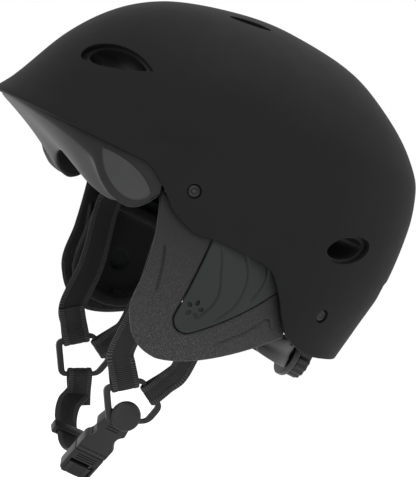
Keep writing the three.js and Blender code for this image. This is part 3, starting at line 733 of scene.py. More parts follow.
def leaf(long, high):
    half = long / 2
    return (bezier((-half, 0), (-half, 0.72 * high), (0.16 * long, 0.72 * high), (half, -0.3 * high), 14)
            + bezier((half, -0.3 * high), (0.2 * long, -0.62 * high), (-half, -0.5 * high), (-half, 0), 14))


def oval(long, high):
    return [(long / 2 * math.cos(t), high / 2 * math.sin(t))
            for t in (2 * math.pi * i / 36 for i in range(36))]


# Shape, length, height, centre, outward direction and tilt of each left-hand vent, in mm.
VENTS = (
    (leaf, 53, 19, (-99, -54, -49), (-0.62, -0.76, 0.3), 15),
    (oval, 36, 18, (78, -82, -91), (0.42, -0.9, 0.05), 26),
    (oval, 28, 10, (-27, -36, 11), (-0.06, -0.42, 1), 0),
    (oval, 30, 16, (132, -38, -104), (1, -0.3, -0.05), -20),
)


def flipped_over(piece):
    """Moves a piece to the other side of the middle plane."""
    piece.data.transform(OTHER_SIDE)
    weld_and_turn_out(piece)
    return piece


def vent_cutter(vent, scale, inward, side):
    shape, long, high, centre, outward, tilt = vent
    c, s = math.cos(math.radians(tilt)), math.sin(math.radians(tilt))
    outline = [(x * c - y * s, x * s + y * c) for x, y in shape(long * scale, high * scale)]
    z = Vector(outward).normalized()
    x = Vector((0, 0, 1)).cross(z).normalized()
    cutter = plate("vent", outline, inward + 25)
    cutter.data.transform(turn_frame(Vector(centre) + z * (25 - inward) / 2, x, z.cross(x)))
    return flipped_over(cutter) if side > 0 else cutter


def sideways(name, outline, near, far, side=-1):
    """A prism of an (x, z) outline, between two distances from the middle plane."""
    prism = plate(name, outline, far - near)
    prism.data.transform(turn_frame((0, -(near + far) / 2, 0), (1, 0, 0), (0, 0, 1)))
    return flipped_over(prism) if side > 0 else prism


def rivet_place(x, z, side=-1):
    """A strap rivet's point on the shell and the direction straight in, in mm."""
    point = side_point(x, z, 0, side)
    return point, (side_point(x, z, 1, side) - point).normalized()


RIVETS = {"front": (-30, -102), "rear": (90, -136)}

# Pressed lines along the shell's side, as (x, z) in mm.
SHELL_LINES = (
    [(-102, -96), (-80, -88), (-50, -76), (-8, -67)],
    [(-25, -118), (-4, -110), (17, -103), (40, -99.5), (65, -98)],
)


def step_below(x, z, line, reach):
    """0 above a line, rising to 1 within a reach below it and fading out at its ends."""
    d, t = distance_to_path((x, z), line)
    if d > 14:
        return 0.0
    i = min(len(line) - 2, int(t * (len(line) - 1)))
    a, b = line[i], line[i + 1]
    below = (b[0] - a[0]) * (z - a[1]) - (b[1] - a[1]) * (x - a[0]) < 0
    fade = smoothstep(0.0, 0.25, t) * smoothstep(1.0, 0.75, t)
    fall = smoothstep(14.0, 3.0, d)
    return fade * fall * (0.5 + (0.5 if below else -0.5) * smoothstep(0.0, reach, d))


def shell_point(phi, root):
    point = hull(phi, root)
    if abs(point.y) < 30 or point.z > -40:
        return point
    step = sum(step_below(point.x, point.z, line, 2.0) for line in SHELL_LINES)
    return point - hull_normal(phi, root) * 0.9 * step


def foam_profile(phi):
    """Down the foam's outer face, round its rim and up its inner face, in mm."""
    edge = root_at_edge(phi, liner_edge)
    edge_up = math.sqrt(edge * edge - 5)
    outer = [inset(phi, edge_up * i / 34, FOAM_DEPTH) for i in range(35)]
    height = -110.0
    for _ in range(20):
        height = liner_edge(cavity(phi, height).x)
    height = min(height, -108.0)
    corner_out, corner_in = inset(phi, edge, FOAM_DEPTH), cavity(phi, height)
    across = (corner_in - corner_out).normalized()
    first, last = corner_out + across * 4.5, corner_in - across * 4.5
    inner_up = cavity(phi, height + 5)
    rim = []
    for a, b, c, steps in ((outer[-1], corner_out, first, 7), (first, (first + last) / 2, last, 5),
                           (last, corner_in, inner_up, 7)):
        rim += [a * (1 - t) ** 2 + b * 2 * t * (1 - t) + c * t * t
                for t in ((i + 1) / steps for i in range(steps))]
    drop = CAVITY_TOP - inner_up.z
    inner = [cavity(phi, CAVITY_TOP - drop * (1 - i / 34) ** 2) for i in range(1, 35)]
    return outer + rim + inner


LOBE_INLAY = (bezier((-92, -103), (-89, -113), (-80, -123), (-68, -125), 12)
              + bezier((-68, -125), (-59, -126), (-53, -121), (-53, -115), 10)
              + bezier((-53, -115), (-61, -105), (-78, -101.5), (-92, -103), 14))


# ---------------------------------------------------------------- ear protector outlines

def ear_outline():
    return (bezier((-48, -107), (-43, -122), (-38, -137), (-35, -155), 14)
            + bezier((-35, -155), (-32, -168), (-37, -180), (-28, -192), 12)
            + bezier((-28, -192), (-20, -205), (-10, -208), (0, -208), 14)
            + bezier((0, -208), (18, -205), (40, -190), (74, -160), 18)
            + [(74, -160), (72, -153), (60, -142.5), (50, -129)]
            + bezier((50, -129), (46, -122.3), (39.3, -118.9), (30, -118.6), 8)
            + [(30, -118.6), (-22, -119.5)]
            + bezier((-22, -119.5), (-30, -117.8), (-38.7, -113.7), (-48, -107), 8)[1:])


def insert_outline(grow):
    r = INSERT_RADIUS + grow
    arc = [(INSERT_X + r * math.cos(t), INSERT_Z + r * math.sin(t))
           for t in (math.radians(180 + 130 * i / 14) for i in range(15))]
    last, target, pull = arc[-1], (54 + grow, -133 - grow), (34 + grow, -162 - grow)
    sweep = [(last[0] * (1 - t) ** 2 + 2 * pull[0] * t * (1 - t) + target[0] * t * t,
              last[1] * (1 - t) ** 2 + 2 * pull[1] * t * (1 - t) + target[1] * t * t)
             for t in ((i + 1) / 16 for i in range(16))]
    return [(INSERT_X - r, INSERT_TOP), *arc, *sweep, (54 + grow, INSERT_TOP)]


def smooth_path(points, steps=8):
    return [(p.x, p.y) for p in spline([Vector((x, z, 0)) for x, z in points], steps)]


# Lines pressed into the ear cover and its insert, as (x, z) in mm.
COVER_LINES = (
    smooth_path([(-31, -138), (-26, -153), (-21.5, -171)]),
    smooth_path([(26, -187), (46, -166), (56, -153), (62, -158.5)]),
)
INSERT_LINES = (
    smooth_path([(2.6, -124), (10, -140), (15.5, -156), (8, -178)]),
    smooth_path([(19, -121), (28, -135), (29, -154), (19.5, -173)]),
    smooth_path([(38, -123), (41, -131.5), (37, -150)]),
)


def pressed(p, lines, depth, half):
    """Depth of the pressed lines at a point."""
    total = 0.0
    for line in lines:
        d, t = distance_to_path(p, line)
        if d < 3 * half:
            total += depth * math.exp(-(d / half) ** 2) * smoothstep(0, 0.12, t) * smoothstep(1, 0.88, t)
    return total


def rounded_edge(d, radius):
    """How far a surface drops within a radius of its outline."""
    return 0.0 if d >= radius else radius - math.sqrt(max(0.0, radius ** 2 - (radius - d) ** 2))


def closed_path(outline):
    return [*outline, outline[0]]


def ear_surface(name, outline, edges, lines, raised, radius, rings, around):
    """A pressed plastic skin on the ear dome, inside an outline and rounded towards its edges."""
    def place(x, z):
        d = min(distance_to_path((x, z), edge)[0] for edge in edges)
        depth = rounded_edge(d, radius) + pressed((x, z), lines, sizes().groove / MM, 0.75) - raised
        return ear_dome(x, z, depth)

    piece = patch_in(name, outline, place, rings, around)
    thicken(piece, sizes().ear_wall / MM, (EAR_X, 0, EAR_Z))
    return piece


# ---------------------------------------------------------------- harness shapes

RING_Y = 58.0
RING_CORNERS = ((-8, -240), (11, -226), (29, -236), (26, -248), (4, -258.5))
RING_MIDDLE = Vector((sum(c[0] for c in RING_CORNERS) / 5, -RING_Y, sum(c[1] for c in RING_CORNERS) / 5))
NO_SHIFT = Vector((0, 0, 0))
SHIFTS = {"left": NO_SHIFT, "right": Vector((-9, 0, 6))}
FRONT_WAY = (Vector((-23, -77, -135)), Vector((-14, -69, -180)))
REAR_WAY = (Vector((76, -61, -152)), Vector((50, -64, -168)), Vector((32, -63, -186)))
CHIN_RUN = tuple(Vector(p) for p in ((11, -14, -289.8), (9.8, -3, -292.4), (8, 10, -290.5),
                                     (6.5, 23, -283.7), (5, 36, -277), (6, 48, -268)))


def ring_bar(first, second, shift):
    """The middle of a ring's bar, the direction along it and the direction out of the ring."""
    a, b = (Vector((RING_CORNERS[i][0], -RING_Y, RING_CORNERS[i][1])) + shift for i in (first, second))
    along = (b - a).normalized()
    out = along.cross(Vector((0, -1, 0))).normalized()
    if out.dot((a + b) / 2 - RING_MIDDLE - shift) < 0:
        out.negate()
    return (a + b) / 2 + out * 0.4, along, out


def turn_round(middle, away, outward):
    """The last points of a strap that turns round a bar and lies back on itself."""
    reach, close = 3.45, 1.1
    steps = ((20, close), (12, close), (5, reach * 0.82), (0, reach), (-reach * 0.75, reach * 0.7),
             (-reach, 0), (-reach * 0.75, -reach * 0.7), (0, -reach), (5, -reach * 0.82), (12, -close),
             (22, -close))
    return [middle + away * a + outward * o for a, o in steps]


def rivet_seat(point, inward):
    """How far in from the shell's face the foam's inner face lies, along a rivet."""
    travel = 5.0
    while travel < 60:
        p = point + inward * travel
        wall = cavity(math.atan2(p.y, p.x - MIDDLE_X), p.z)
        if math.hypot(p.x - MIDDLE_X, p.y) < math.hypot(wall.x - MIDDLE_X, wall.y) - 2.2:
            break
        travel += 0.2
    return travel


def strap_route(rivet, way, bar):
    """A left-hand strap's route from its rivet round a ring's bar, and its width direction there."""
    point, inward = rivet_place(*RIVETS[rivet])
    middle, along, out = bar
    anchor = point + inward * (rivet_seat(point, inward) + 1.15)
    down = way[0] - anchor
    down = (down - inward * down.dot(inward)).normalized()
    route = [anchor + down * d for d in (-9, 0, 10)] + list(way) + turn_round(middle, out, Vector((0, -1, 0)))
    top = inward.cross(down).normalized()
    if top.dot(along) < 0:
        top.negate()
    return route, [top.lerp(along, min(1.0, max(0.0, (i - 2) / (len(way) + 1)))) for i in range(len(route))]


def resampled(points, values, step):
    """Path points an even step apart, each with the width direction blended along the path."""
    fine, sides = spline(points, 24), spline(values, 24)
    lengths = [0.0]
    for a, b in zip(fine, fine[1:]):
        lengths.append(lengths[-1] + (b - a).length)
    count = max(8, round(lengths[-1] / step))
    out, i = [], 0
    for k in range(count + 1):
        want = lengths[-1] * k / count
        while i < len(fine) - 2 and lengths[i + 1] < want:
            i += 1
        t = (want - lengths[i]) / max(1e-9, lengths[i + 1] - lengths[i])
        out.append((fine[i].lerp(fine[i + 1], t), sides[i].lerp(sides[i + 1], t)))
    return out, lengths[-1]


def web_strip(name, route, across, width):
    """Flat webbing along a route, with a ladder of ribs pressed into both of its edges."""
    thick, pitch = sizes().web_thick / MM, sizes().web_rib / MM
    path, total = resampled(route, across, pitch / 4)
    half = width / 2
    lanes = (-half, -half + 0.35, -half + 1.1, -half + 2.4, -half + 3.3, -half + 3.6, -half / 3)
    lanes = (*lanes, *(-lane for lane in reversed(lanes)))
    count = len(path) - 1

    def height(lane, k):
        inset_edge = half - abs(lane)
        if inset_edge < 0.05:
            return 0.16
        if inset_edge < 3.4:
            rib = abs(math.sin(math.pi * k / 4))
            return thick / 2 - 0.28 + 0.34 * rib - (0.12 if inset_edge < 0.5 else 0.0)
        return thick / 2 - (0.22 if inset_edge < 3.7 else 0.02)

    loop = [(lane, 1) for lane in lanes] + [(lane, -1) for lane in reversed(lanes)]

    def place(u, v):
        k = round(v * count)
        point, side = path[k]
        ahead, behind = path[min(count, k + 1)][0], path[max(0, k - 1)][0]
        tangent = (ahead - behind).normalized()
        side = (side - tangent * side.dot(tangent)).normalized()
        lane, face = loop[round(u * len(loop)) % len(loop)]
        return point + side * lane + tangent.cross(side) * height(lane, k) * face

    strip = sheet_of(name, len(loop), count, place)
    for corner in strip.data.uv_layers.active.data:
        lane = loop[round(corner.uv[0] * len(loop)) % len(loop)][0]
        corner.uv = ((half - abs(lane)) * MM, corner.uv[1] * total * MM)
    close_ends(strip)
    return strip


def rounded_outline(corners, scale, round_by, steps=6):
    middle = Vector((sum(c[0] for c in corners), sum(c[1] for c in corners))) / len(corners)
    points = [middle + (Vector(c) - middle) * scale for c in corners]
    out = []
    for i, corner in enumerate(points):
        before, after = points[i - 1], points[(i + 1) % len(points)]
        start = corner.lerp(before, round_by / (corner - before).length)
        end = corner.lerp(after, round_by / (corner - after).length)
        out += [tuple(start * (1 - t) ** 2 + corner * 2 * t * (1 - t) + end * t * t)
                for t in (k / steps for k in range(steps + 1))]
    return out


TILT = math.radians(38)
BUCKLE_ALONG = Vector((0, math.sin(TILT), -math.cos(TILT)))
BUCKLE_TOP = Vector((11, -52, -252))


def on_buckle(piece):
    """Hangs a piece that was drawn flat, x across and y along the buckle."""
    piece.data.transform(turn_frame(BUCKLE_TOP, (1, 0, 0), BUCKLE_ALONG))
    return piece


def box_shape(name, x, y, z):
    """A block between two limits on each axis, in mm."""
    piece = plate(name, [(x[0], y[0]), (x[1], y[0]), (x[1], y[1]), (x[0], y[1])], z[1] - z[0])
    piece.data.transform(Matrix.Translation(Vector((0, 0, (z[0] + z[1]) / 2)) * MM))
    return piece


def mirrored_outline(points):
    """An outline from one half of it, running down x > 0."""
    return points + [(-x, y) for x, y in reversed(points)]


def rounded_off(piece, width, segments=3, limit=35):
    modify(piece, "BEVEL", width=width * MM, segments=segments, limit_method="ANGLE",
           angle_limit=math.radians(limit))
    return piece


# ---------------------------------------------------------------- operators

class PieceOperator:
    """What the pieces' operators share."""

    bl_options = {"REGISTER", "UNDO"}

    def execute(self, context):
        self.build()
        deselect()
        return {"FINISHED"}


class HELMET_OT_shell(PieceOperator, bpy.types.Operator):
    """Model the hard shell with its vents and rivet holes"""

    bl_idname = "helmet.shell"
    bl_label = "Shell"

    def build(self):
        around, down = 288, 88
        edges = [root_at_edge(2 * math.pi * i / around, shell_edge) for i in range(around)]

        def place(u, v):
            i = round(u * around) % around
            return shell_point(2 * math.pi * i / around, edges[i] * v)

        shell = sheet_of("shell", around, down, place)
        weld_and_turn_out(shell)
        thicken(shell, sizes().shell_wall / MM, (MIDDLE_X, 0, -60))
        modify(shell, "BEVEL", width=0.8 * MM, segments=3, limit_method="ANGLE",
               angle_limit=math.radians(60))
        cutters = [vent_cutter(vent, 1, 18, side) for vent in VENTS for _, side in SIDES]
        for x, z in RIVETS.values():
            for _, side in SIDES:
                point, inward = rivet_place(x, z, side)
                cutters.append(rod("bore", 4.7, point - inward * 8, point + inward * 8))
        cut(shell, join_into(cutters[0], cutters[1:]))
        finished(shell, "helmet", shell_finish(), ["outer_shell"])


class HELMET_OT_foam(PieceOperator, bpy.types.Operator):
    """Model the foam liner and the inlays in it"""

    bl_idname = "helmet.foam"
    bl_label = "Foam liner"

    def build(self):
        around = 220
        rows = [foam_profile(2 * math.pi * i / around) for i in range(around)]
        last = len(rows[0]) - 1
        foam = sheet_of("foam_liner_looks", around, last,
                        lambda u, v: rows[round(u * around) % around][round(v * last)])
        weld_and_turn_out(foam)
        cutters = [vent_cutter(vent, 0.8, 60, side) for vent in VENTS for _, side in SIDES]
        cut(foam, join_into(cutters[0], cutters[1:]))
        grown = [(EAR_X + (x - EAR_X) * 1.03, EAR_Z + (z - EAR_Z) * 1.03) for x, z in ear_outline()]
        cutters = []
        for _, side in SIDES:
            cutters.append(sideways("ear_room", grown, 70, 130, side))
            for x, z in RIVETS.values():
                point, inward = rivet_place(x, z, side)
                cutters.append(rod("bore", 2.8, point - inward * 5, point + inward * 60))
        cut(foam, join_into(cutters[0], cutters[1:]))
        finished(foam, "helmet", foam_finish("foam", tuple(colours().foam), 0.18), ["foam_liner"])
        self.inlays(foam_finish("foam_inlay", tuple(colours().inlay), 0.2))

    def inlays(self, material):
        left = patch_in("temple_inlay_looks_left", LOBE_INLAY,
                        lambda x, z: side_point(x, z, 3.3 + rounded_edge(
                            distance_to_path((x, z), closed_path(LOBE_INLAY))[0], 1.0)), 16, 96)
        thicken(left, 1.4, (MIDDLE_X, 0, -110))
        right = mirror_copy(left, "temple_inlay_looks_right")
        finished(left, "helmet", material, ["temple_inlay_left"])
        finished(right, "helmet", material, ["temple_inlay_right"])


class HELMET_OT_ear_covers(PieceOperator, bpy.types.Operator):
    """Model the grained ear covers and their smooth inserts"""

    bl_idname = "helmet.ear_covers"
    bl_label = "Ear covers"

    def build(self):
        outer, slot_edge = closed_path(ear_outline()), closed_path(insert_outline(0.4))
        cover = ear_surface("ear_cover_looks_left", ear_outline(), [outer, slot_edge], COVER_LINES,
                            0.0, 1.8, 110, 420)
        cut(cover, sideways("slot", insert_outline(0.4), 60, PAST_SHELL))
        insert_edge = closed_path(insert_outline(0))
        insert = ear_surface("ear_insert_looks_left", insert_outline(0), [outer, insert_edge],
                             INSERT_LINES, 0.5, 1.2, 90, 300)
        cut(insert, sideways("trim", ear_outline(), 60, PAST_SHELL), "INTERSECT")
        for i in range(5):
            turn = 2 * math.pi * i / 5 + math.pi / 2
            c, s = math.cos(turn), math.sin(turn)
            petal = [(FLOWER_X + 4.4 * c + 1.9 * math.cos(t) * c - 1.5 * math.sin(t) * s,
                      FLOWER_Z + 4.4 * s + 1.9 * math.cos(t) * s + 1.5 * math.sin(t) * c)
                     for t in (2 * math.pi * k / 20 for k in range(20))]
            cut(insert, sideways("petal", petal, PETAL_FLOOR, PAST_SHELL))
        grained, smooth = grained_finish(), smooth_plastic_finish()
        for piece, name, material, slot in ((cover, "ear_cover", grained, "grained_plastic"),
                                            (insert, "ear_insert", smooth, "smooth_plastic")):
            other = mirror_copy(piece, f"{name}_looks_right")
            finished(piece, "helmet", material, [f"{name}_left"])
            finished(other, "helmet", material, [f"{name}_right"])


class HELMET_OT_rivets(PieceOperator, bpy.types.Operator):
    """Model the strap rivets, their washers and the caps on the rings"""

    bl_idname = "helmet.rivets"
    bl_label = "Rivets and caps"

    def build(self):
        steel, acetal = blackened_finish(), acetal_finish()
        for side, sign in SIDES:
            for name, spot in RIVETS.items():
                point, inward = rivet_place(*spot, sign)
                end = rivet_seat(*rivet_place(*spot)) + 6
                rivet = turned(f"{name}_rivet_looks_{side}",
                               [(0, 1.5), (1.5, 1.45), (2.1, 0.9), (3.2, 1.0), (3.9, 1.3), (4.2, 1.9),
                                (4.2, 3.6), (2.2, 3.6), (2.2, end), (0, end)], point, inward)
                start = end - 6 + 2.6
                washer = turned(f"{name}_washer_looks_{side}",
                                [(2.5, start), (6, start), (6, start + 0.8), (5, start + 1.4),
                                 (2.5, start + 1.4), (2.5, start)], point, inward)
                finished(rivet, "helmet", steel, [f"{name}_rivet_{side}"])
                finished(washer, "helmet", steel, [f"{name}_washer_{side}"])
        cap = turned("ring_cap_looks", [(0, 3.4), (6.2, 3.35), (8.4, 3.05), (9.4, 2.6), (9.9, 1.8), (10, 0.9),
                                        (9.8, 0.1), (1.9, 0), (1.9, -8.1), (0, -8.1)],
                     (CAP_X, -60.1, CAP_Z), (0, -1, 0), 64)
        finished(cap, "helmet", acetal, ["ring_cap"])


class HELMET_OT_straps(PieceOperator, bpy.types.Operator):
    """Model the harness webbing and the rings that it turns round"""

    bl_idname = "helmet.straps"
    bl_label = "Harness"

    def build(self):
        web, acetal = webbing_finish(), acetal_finish()
        for side, sign in SIDES:
            shift = SHIFTS[side]
            moved = [[p + shift * (i + 1) / 4 for i, p in enumerate(way)] for way in (FRONT_WAY, REAR_WAY)]
            straps = (("front", moved[0], ring_bar(0, 1, shift), 18),
                      ("rear", moved[1], ring_bar(1, 2, shift), 14.5))
            for name, way, bar, width in straps:
                strap = web_strip(f"{name}_strap_looks_{side}", *strap_route(name, way, bar), width)
                if sign > 0:
                    flipped_over(strap)
                finished(strap, "helmet", web, [f"{name}_strap_{side}"])
            outline = rounded_outline([(x + shift.x, z + shift.z) for x, z in RING_CORNERS], 1.16, 5)
            hole = rounded_outline([(x + shift.x, z + shift.z) for x, z in RING_CORNERS], 0.9, 2)
            ring = sideways(f"strap_ring_looks_{side}", outline, RING_Y - 1.7, RING_Y + 1.7, sign)
            cut(ring, sideways("ring_hole", hole, RING_Y - 9, RING_Y + 9, sign))
            rounded_off(ring, 1.1, 4)
            finished(ring, "helmet", acetal, [f"strap_ring_{side}"])


class HELMET_OT_buckle(PieceOperator, bpy.types.Operator):
    """Model the side-release buckle"""

    bl_idname = "helmet.buckle"
    bl_label = "Buckle"

    def build(self):
        acetal = acetal_finish()
        finished(self.housing(), "helmet", acetal, ["buckle_housing"])
        finished(self.clip(), "clip", acetal, ["buckle_clip"])
        for name, sign in (("rear", 1), ("front", -1)):
            finished(self.prong(name, sign), f"prong_{name}", acetal,
                     [f"release_prong_{name}"])

    def housing(self):
        half = ([(8.5, 2)] + bezier((8.5, 2), (10, 8), (11, 13), (10.5, 14.5), 6)[1:]
                + bezier((10.5, 14.5), (6.8, 16), (6.8, 24), (10.5, 27), 10)
                + [(10.5, 27), (11, 29), (11, 40)])
        body = plate("buckle_housing_looks", mirrored_outline(half), 9.5)
        rounded_off(body, 2.0, 4)
        cut(body, box_shape("throat", (-8.3, 8.3), (12, 45), (-2.7, 2.7)))
        for y in (6.5, 9.0, 11.5):
            cut(body, box_shape("grip", (-4.5, 4.5), (y, y + 1.0), (-5.5, -4.35)))
        cut(body, box_shape("line", (-12, 12), (35.4, 36.2), (-5.5, -4.45)))
        on_buckle(body)
        lug = rod("lug", 7.5, (CAP_X, -52.6, CAP_Z), (CAP_X, -55.8, CAP_Z), 40, 0.5)
        cut(body, lug, "UNION")
        cut(body, rod("bore", 2.4, (CAP_X, -30, CAP_Z), (CAP_X, -70, CAP_Z)))
        return body

    def clip(self):
        side = mirrored_outline([(11, 40.4), (11, 60)] + bezier((11, 60), (11, 62), (10, 63), (8, 63), 6)
                                + [(8, 63)])
        body = plate("buckle_clip_looks", side, 9.5)
        rounded_off(body, 1.4, 4)
        cut(body, box_shape("window", (-8.8, 8.8), (49, 57.6), (-15, 15)))
        for low, high in ((1.8, 20), (-20, -1.8)):
            cut(body, box_shape("thin", (-8.8, 8.8), (56.6, 68), (low, high)))
        for sign in (1, -1):
            x = sorted((sign * 2.0, sign * 7.8))
            cut(body, box_shape("pocket", x, (39, 43), (-2.7, 2.7)))
            cut(body, rod("seat", 1.85, (sign * 5.6, 43, -2.7), (sign * 5.6, 43, 2.7)))
        for y in (42.6, 44.6, 46.6):
            cut(body, box_shape("grip", (-7, 7), (y, y + 0.9), (-5.5, -4.3)))
        tongue = box_shape("tongue", (-1.4, 1.4), (20, 41.4), (-1.6, 1.6))
        cut(body, rounded_off(tongue, 0.3), "UNION")
        return on_buckle(body)

    def prong(self, name, sign):
        x = 5.6
        outline = ([(x - 1.3, 43), (x - 1.3, 26)]
                   + bezier((x - 1.3, 26), (x - 1, 20), (x - 1, 15), (x + 0.6, 15), 8)
                   + bezier((x + 0.6, 15), (x + 2.4, 15), (x + 2.5, 21), (x + 2.3, 24), 8)
                   + [(x + 2.3, 24), (x + 1.4, 27), (x + 1.4, 43)]
                   + [(x + 1.35 * math.cos(t), 43 + 1.35 * math.sin(t))
                      for t in (math.pi * k / 10 for k in range(11))])
        piece = plate(f"prong_{name}_looks", [(sign * px, py) for px, py in outline], 4.4, 0.4)
        return on_buckle(piece)


class HELMET_OT_chin_strap(PieceOperator, bpy.types.Operator):
    """Model the chin strap, its fold round the clip and its keeper"""

    bl_idname = "helmet.chin_strap"
    bl_label = "Chin strap"

    def build(self):
        web = webbing_finish()
        fold = [Vector((0, y, z)) for y, z in ((52.5, -4), (57, -3.5), (60.3, -3.2), (64, -2.8), (65.4, 0),
                                               (64, 2.8), (60.3, 3.2), (57, 2.9), (55.6, 1.2))]
        clip_web = on_buckle(web_strip("clip_web_looks", fold, [Vector((1, 0, 0))] * 9, 16.5))
        finished(clip_web, "clip", web, ["clip_web"])
        middle, along, out = ring_bar(3, 4, SHIFTS["right"])
        over = [Vector((v.x, -v.y, v.z)) for v in (middle, along, out)]
        side = over[1] if over[1].x > 0 else -over[1]
        route = [*CHIN_RUN, *turn_round(over[0], over[2], Vector((0, 1, 0)))[1:]]
        across = [Vector((1, 0, 0)).lerp(side, min(1.0, max(0.0, (i - 3) / 4))) for i in range(len(route))]
        strap = web_strip("chin_strap_looks", route, across, 16.5)
        finished(strap, None, web, ["chin_strap"])
        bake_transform(strap)
        direction = (CHIN_RUN[4] - CHIN_RUN[2]).normalized()
        across = Vector((1, 0, 0)) - direction * direction.x
        keeper = box_shape("strap_keeper_looks", (-11.5, 11.5), (-4, 4), (-3.1, 3.1))
        rounded_off(keeper, 1.0)
        cut(keeper, box_shape("slot", (-9, 9), (-6, 6), (-1.5, 1.5)))
        keeper.data.transform(turn_frame(CHIN_RUN[3], across, direction))
        finished(keeper, "keeper", acetal_finish(), ["strap_keeper"])


class HELMET_OT_cradle(PieceOperator, bpy.types.Operator):
    """Model the rear cradle, the dial's housing and the dial"""

    bl_idname = "helmet.cradle"
    bl_label = "Rear cradle and dial"

    def build(self):
        grey, acetal = cradle_finish(), acetal_finish()
        loop = [(0.1, -0.96), (0.9, -0.96), (1, -0.85), (1, -0.3), (0.86, -0.2), (0.86, 0.2),
                (1, 0.3), (1, 0.85), (0.9, 0.96), (0.1, 0.96), (0, 0.85), (0, -0.85)]
        count = 96

        def place(u, v):
            across, up = loop[round(u * len(loop)) % len(loop)]
            turn = math.radians(72 * (2 * v - 1))
            end = min(1.0, math.sqrt(max(0.0, 1 - (max(0.0, abs(2 * v - 1) - 0.9) / 0.1) ** 2)) + 0.02)
            half = 10 * (1 - 0.35 * abs(2 * v - 1) ** 3) * end
            r = BAND_RADIUS + BAND_WALL * across
            return Vector((BAND_X + r * math.cos(turn), r * math.sin(turn), BAND_Z + half * up))

        band = sheet_of("rear_cradle_looks", len(loop), count, place)
        close_ends(band)
        back = BAND_X + math.sqrt((BAND_RADIUS + BAND_WALL / 2) ** 2 - ARM_Y ** 2)
        for y in (-ARM_Y, ARM_Y):
            arm = box_shape("arm", (-1, 1), (-5, 5), (ARM_FOOT, ARM_TOP))
            for vertex in arm.data.vertices:
                vertex.co.x += 6 * (vertex.co.z - ARM_FOOT * MM) / (ARM_TOP - ARM_FOOT)
            rounded_off(arm, 0.8)
            arm.data.transform(Matrix.Translation(Vector((back, y, 0)) * MM))
            cut(band, arm, "UNION")
        cut(band, rod("bore", 3.4, (96, 0, BAND_Z), (119, 0, BAND_Z)))
        finished(band, "cradle", grey, ["rear_cradle"])
        housing = turned("dial_housing_looks",
                         [(3.4, 0), (15.6, 0), (16, 0.5), (16, 3.2), (15.5, 4.3), (14.4, 5), (3.4, 5),
                          (3.4, 0)], (DIAL_X, 0, BAND_Z), (1, 0, 0), 64)
        finished(housing, "cradle", grey, ["dial_housing"])
        flutes = [(r * math.cos(t), r * math.sin(t)) for r, t in
                  ((13.1 + 0.45 * math.cos(16 * t), t) for t in (2 * math.pi * i / 192 for i in range(192)))]
        knob = plate("dial_knob_looks", flutes, 9)
        rounded_off(knob, 1.2, 4, 60)
        knob.data.transform(turn_frame((DIAL_X + 9.9, 0, BAND_Z), (0, 1, 0), (0, 0, 1)))
        cut(knob, rod("spindle", 3, (104.9, 0, BAND_Z), (121, 0, BAND_Z)), "UNION")
        dish = turned("dish", [(0, -0.9), (8, -0.7), (9.4, 0.2), (9.6, 3), (0, 3), (0, -0.9)],
                      (DIAL_X + 14.4, 0, BAND_Z), (1, 0, 0), 64)
        cut(knob, dish)
        finished(knob, "dial", acetal, ["dial_knob"])


class HELMET_OT_pads(PieceOperator, bpy.types.Operator):
    """Swell the comfort pads and the ear pads as stuffed cloth"""

    bl_idname = "helmet.pads"
    bl_label = "Pads"

    def build(self):
        knit = fabric_finish("pad_knit", tuple(colours().fabric))
        for node_name in ("crown_pad", "brow_pad", "nape_pad", "side_pad_left", "side_pad_right"):
            self.pad(node_name, 3.0, sizes().pad_swell * 0.5, "pad_fabric", knit, 0.5)
        foam = fabric_finish("ear_knit", tuple(colours().fabric), 1.3)
        for node_name in ("ear_pad_left", "ear_pad_right"):
            self.pad(node_name, 2.2, 0.0012, "ear_foam", foam, 0.4)

    def pad(self, node_name, voxel, cap, slot, material, fill):
        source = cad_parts[node_name]
        mesh = source.data.copy()
        mesh.name = f"{node_name}_looks"
        pad = bpy.data.objects.new(mesh.name, mesh)
        bpy.context.scene.collection.objects.link(pad)
        weld_and_turn_out(pad, 1e-5)
        modify(pad, "REMESH", mode="VOXEL", voxel_size=voxel * MM)
        before = [v.co.copy() for v in pad.data.vertices]
        cloth = pad.modifiers.new("cloth", "CLOTH")
        cloth.settings.use_pressure = True
        cloth.settings.uniform_pressure_force = 4
        cloth.settings.effector_weights.gravity = 0
        cloth.point_cache.frame_start, cloth.point_cache.frame_end = 1, 20
        for step in range(1, 21):
            bpy.context.scene.frame_set(step)
        activate(pad)
        bpy.ops.object.modifier_apply(modifier=cloth.name)
        bpy.context.scene.frame_set(1)
        for vertex, old in zip(pad.data.vertices, before):
            move = vertex.co - old
            if move.length > cap:
                vertex.co = old + move * (cap / move.length)
        modify(pad, "SMOOTH", factor=0.5, iterations=3)
        modify(pad, "SUBSURF", levels=1, render_levels=1)
        finished(pad, "helmet", material, [node_name], 80)


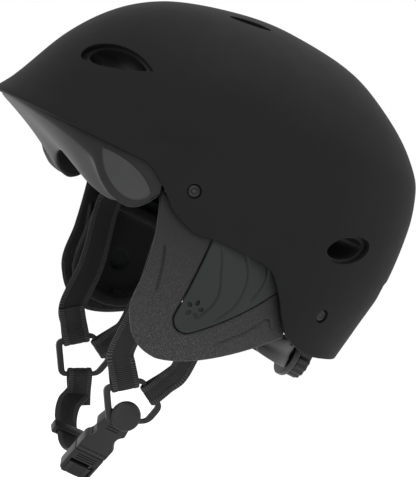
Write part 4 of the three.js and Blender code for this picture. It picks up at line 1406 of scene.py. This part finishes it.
class HELMET_OT_stage(PieceOperator, bpy.types.Operator):
    """Lay the floor, the lights and the camera"""

    bl_idname = "helmet.stage"
    bl_label = "Stage"

    def build(self):
        deselect()
        bpy.ops.mesh.primitive_plane_add(size=60, location=(0, 0, -0.36))
        floor = bpy.context.object
        floor.name = "floor"
        material, _, _, _ = new_finish("pale_floor", (1, 1, 1, 1), 1.0, 0.0)
        floor.data.materials.append(material)
        lights = [
            self.area("key_light", (-1.1, -1.4, 1.5), 1.0, 14),
            self.area("top_light", (0.1, 0.1, 1.6), 1.2, 12),
            self.area("rear_light", (1.5, -0.6, 0.9), 0.8, 6),
            self.area("low_light", (-0.2, -1.8, -0.25), 0.7, 4),
        ]
        world = bpy.context.scene.world or bpy.data.worlds.new("world")
        bpy.context.scene.world = world
        world.use_nodes = True
        back = world.node_tree.nodes["Background"]
        back.inputs["Color"].default_value = (1, 1, 1, 1)
        back.inputs["Strength"].default_value = 1.0
        bpy.context.scene.view_settings.view_transform = "Standard"
        self.camera()

    def area(self, name, place, size, power):
        deselect()
        bpy.ops.object.light_add(type="AREA", location=place)
        light = bpy.context.object
        light.name = name
        light.data.size = size
        light.data.energy = power
        light.rotation_euler = (Vector((0.02, 0, -0.1)) - light.location).to_track_quat("-Z", "Y").to_euler()
        return light

    def camera(self):
        turn, lean = math.radians(18), math.asin(0.454)
        to_camera = Vector((-math.sin(turn), -math.cos(turn), 0))
        level = Vector((math.cos(turn), -math.sin(turn), 0))
        up_axis = Vector((0, 0, 1))
        right = level * math.cos(lean) + up_axis * math.sin(lean)
        up = up_axis * math.cos(lean) - level * math.sin(lean)
        place = Vector((25.8, 0, -124.5)) * MM + to_camera * 1.7756
        deselect()
        bpy.ops.object.camera_add(location=place)
        camera = bpy.context.object
        camera.name = "camera"
        camera.rotation_euler = Matrix((right, up, to_camera)).transposed().to_euler()
        camera.data.lens = 200
        camera.data.sensor_width = 36
        bpy.context.scene.camera = camera
        return camera


# ---------------------------------------------------------------- panel

OPERATORS = (
    HELMET_OT_shell, HELMET_OT_foam, HELMET_OT_ear_covers, HELMET_OT_rivets, HELMET_OT_straps,
    HELMET_OT_buckle, HELMET_OT_chin_strap, HELMET_OT_cradle, HELMET_OT_pads, HELMET_OT_stage,
)


class HELMET_PT_panel(bpy.types.Panel):
    """Sidebar panel with every piece of the helmet"""

    bl_idname = "HELMET_PT_panel"
    bl_label = "Water helmet"
    bl_space_type = "VIEW_3D"
    bl_region_type = "UI"
    bl_category = "Helmet"

    def draw(self, context):
        layout = self.layout
        for group in (context.scene.helmet_sizes, context.scene.helmet_colours):
            box = layout.box()
            for key in group.bl_rna.properties.keys():
                if key not in {"rna_type", "name"}:
                    box.prop(group, key)
        for operator in OPERATORS:
            layout.operator(operator.bl_idname)


CLASSES = (HelmetSizes, HelmetColours, *OPERATORS, HELMET_PT_panel)


def register():
    for item in CLASSES:
        bpy.utils.register_class(item)
    bpy.types.Scene.helmet_sizes = bpy.props.PointerProperty(type=HelmetSizes)
    bpy.types.Scene.helmet_colours = bpy.props.PointerProperty(type=HelmetColours)


def unregister():
    del bpy.types.Scene.helmet_colours
    del bpy.types.Scene.helmet_sizes
    for item in reversed(CLASSES):
        bpy.utils.unregister_class(item)


def main():
    register()
    for operator in OPERATORS:
        group, name = operator.bl_idname.split(".")
        getattr(getattr(bpy.ops, group), name)()


if __name__ == "__main__":
    main()
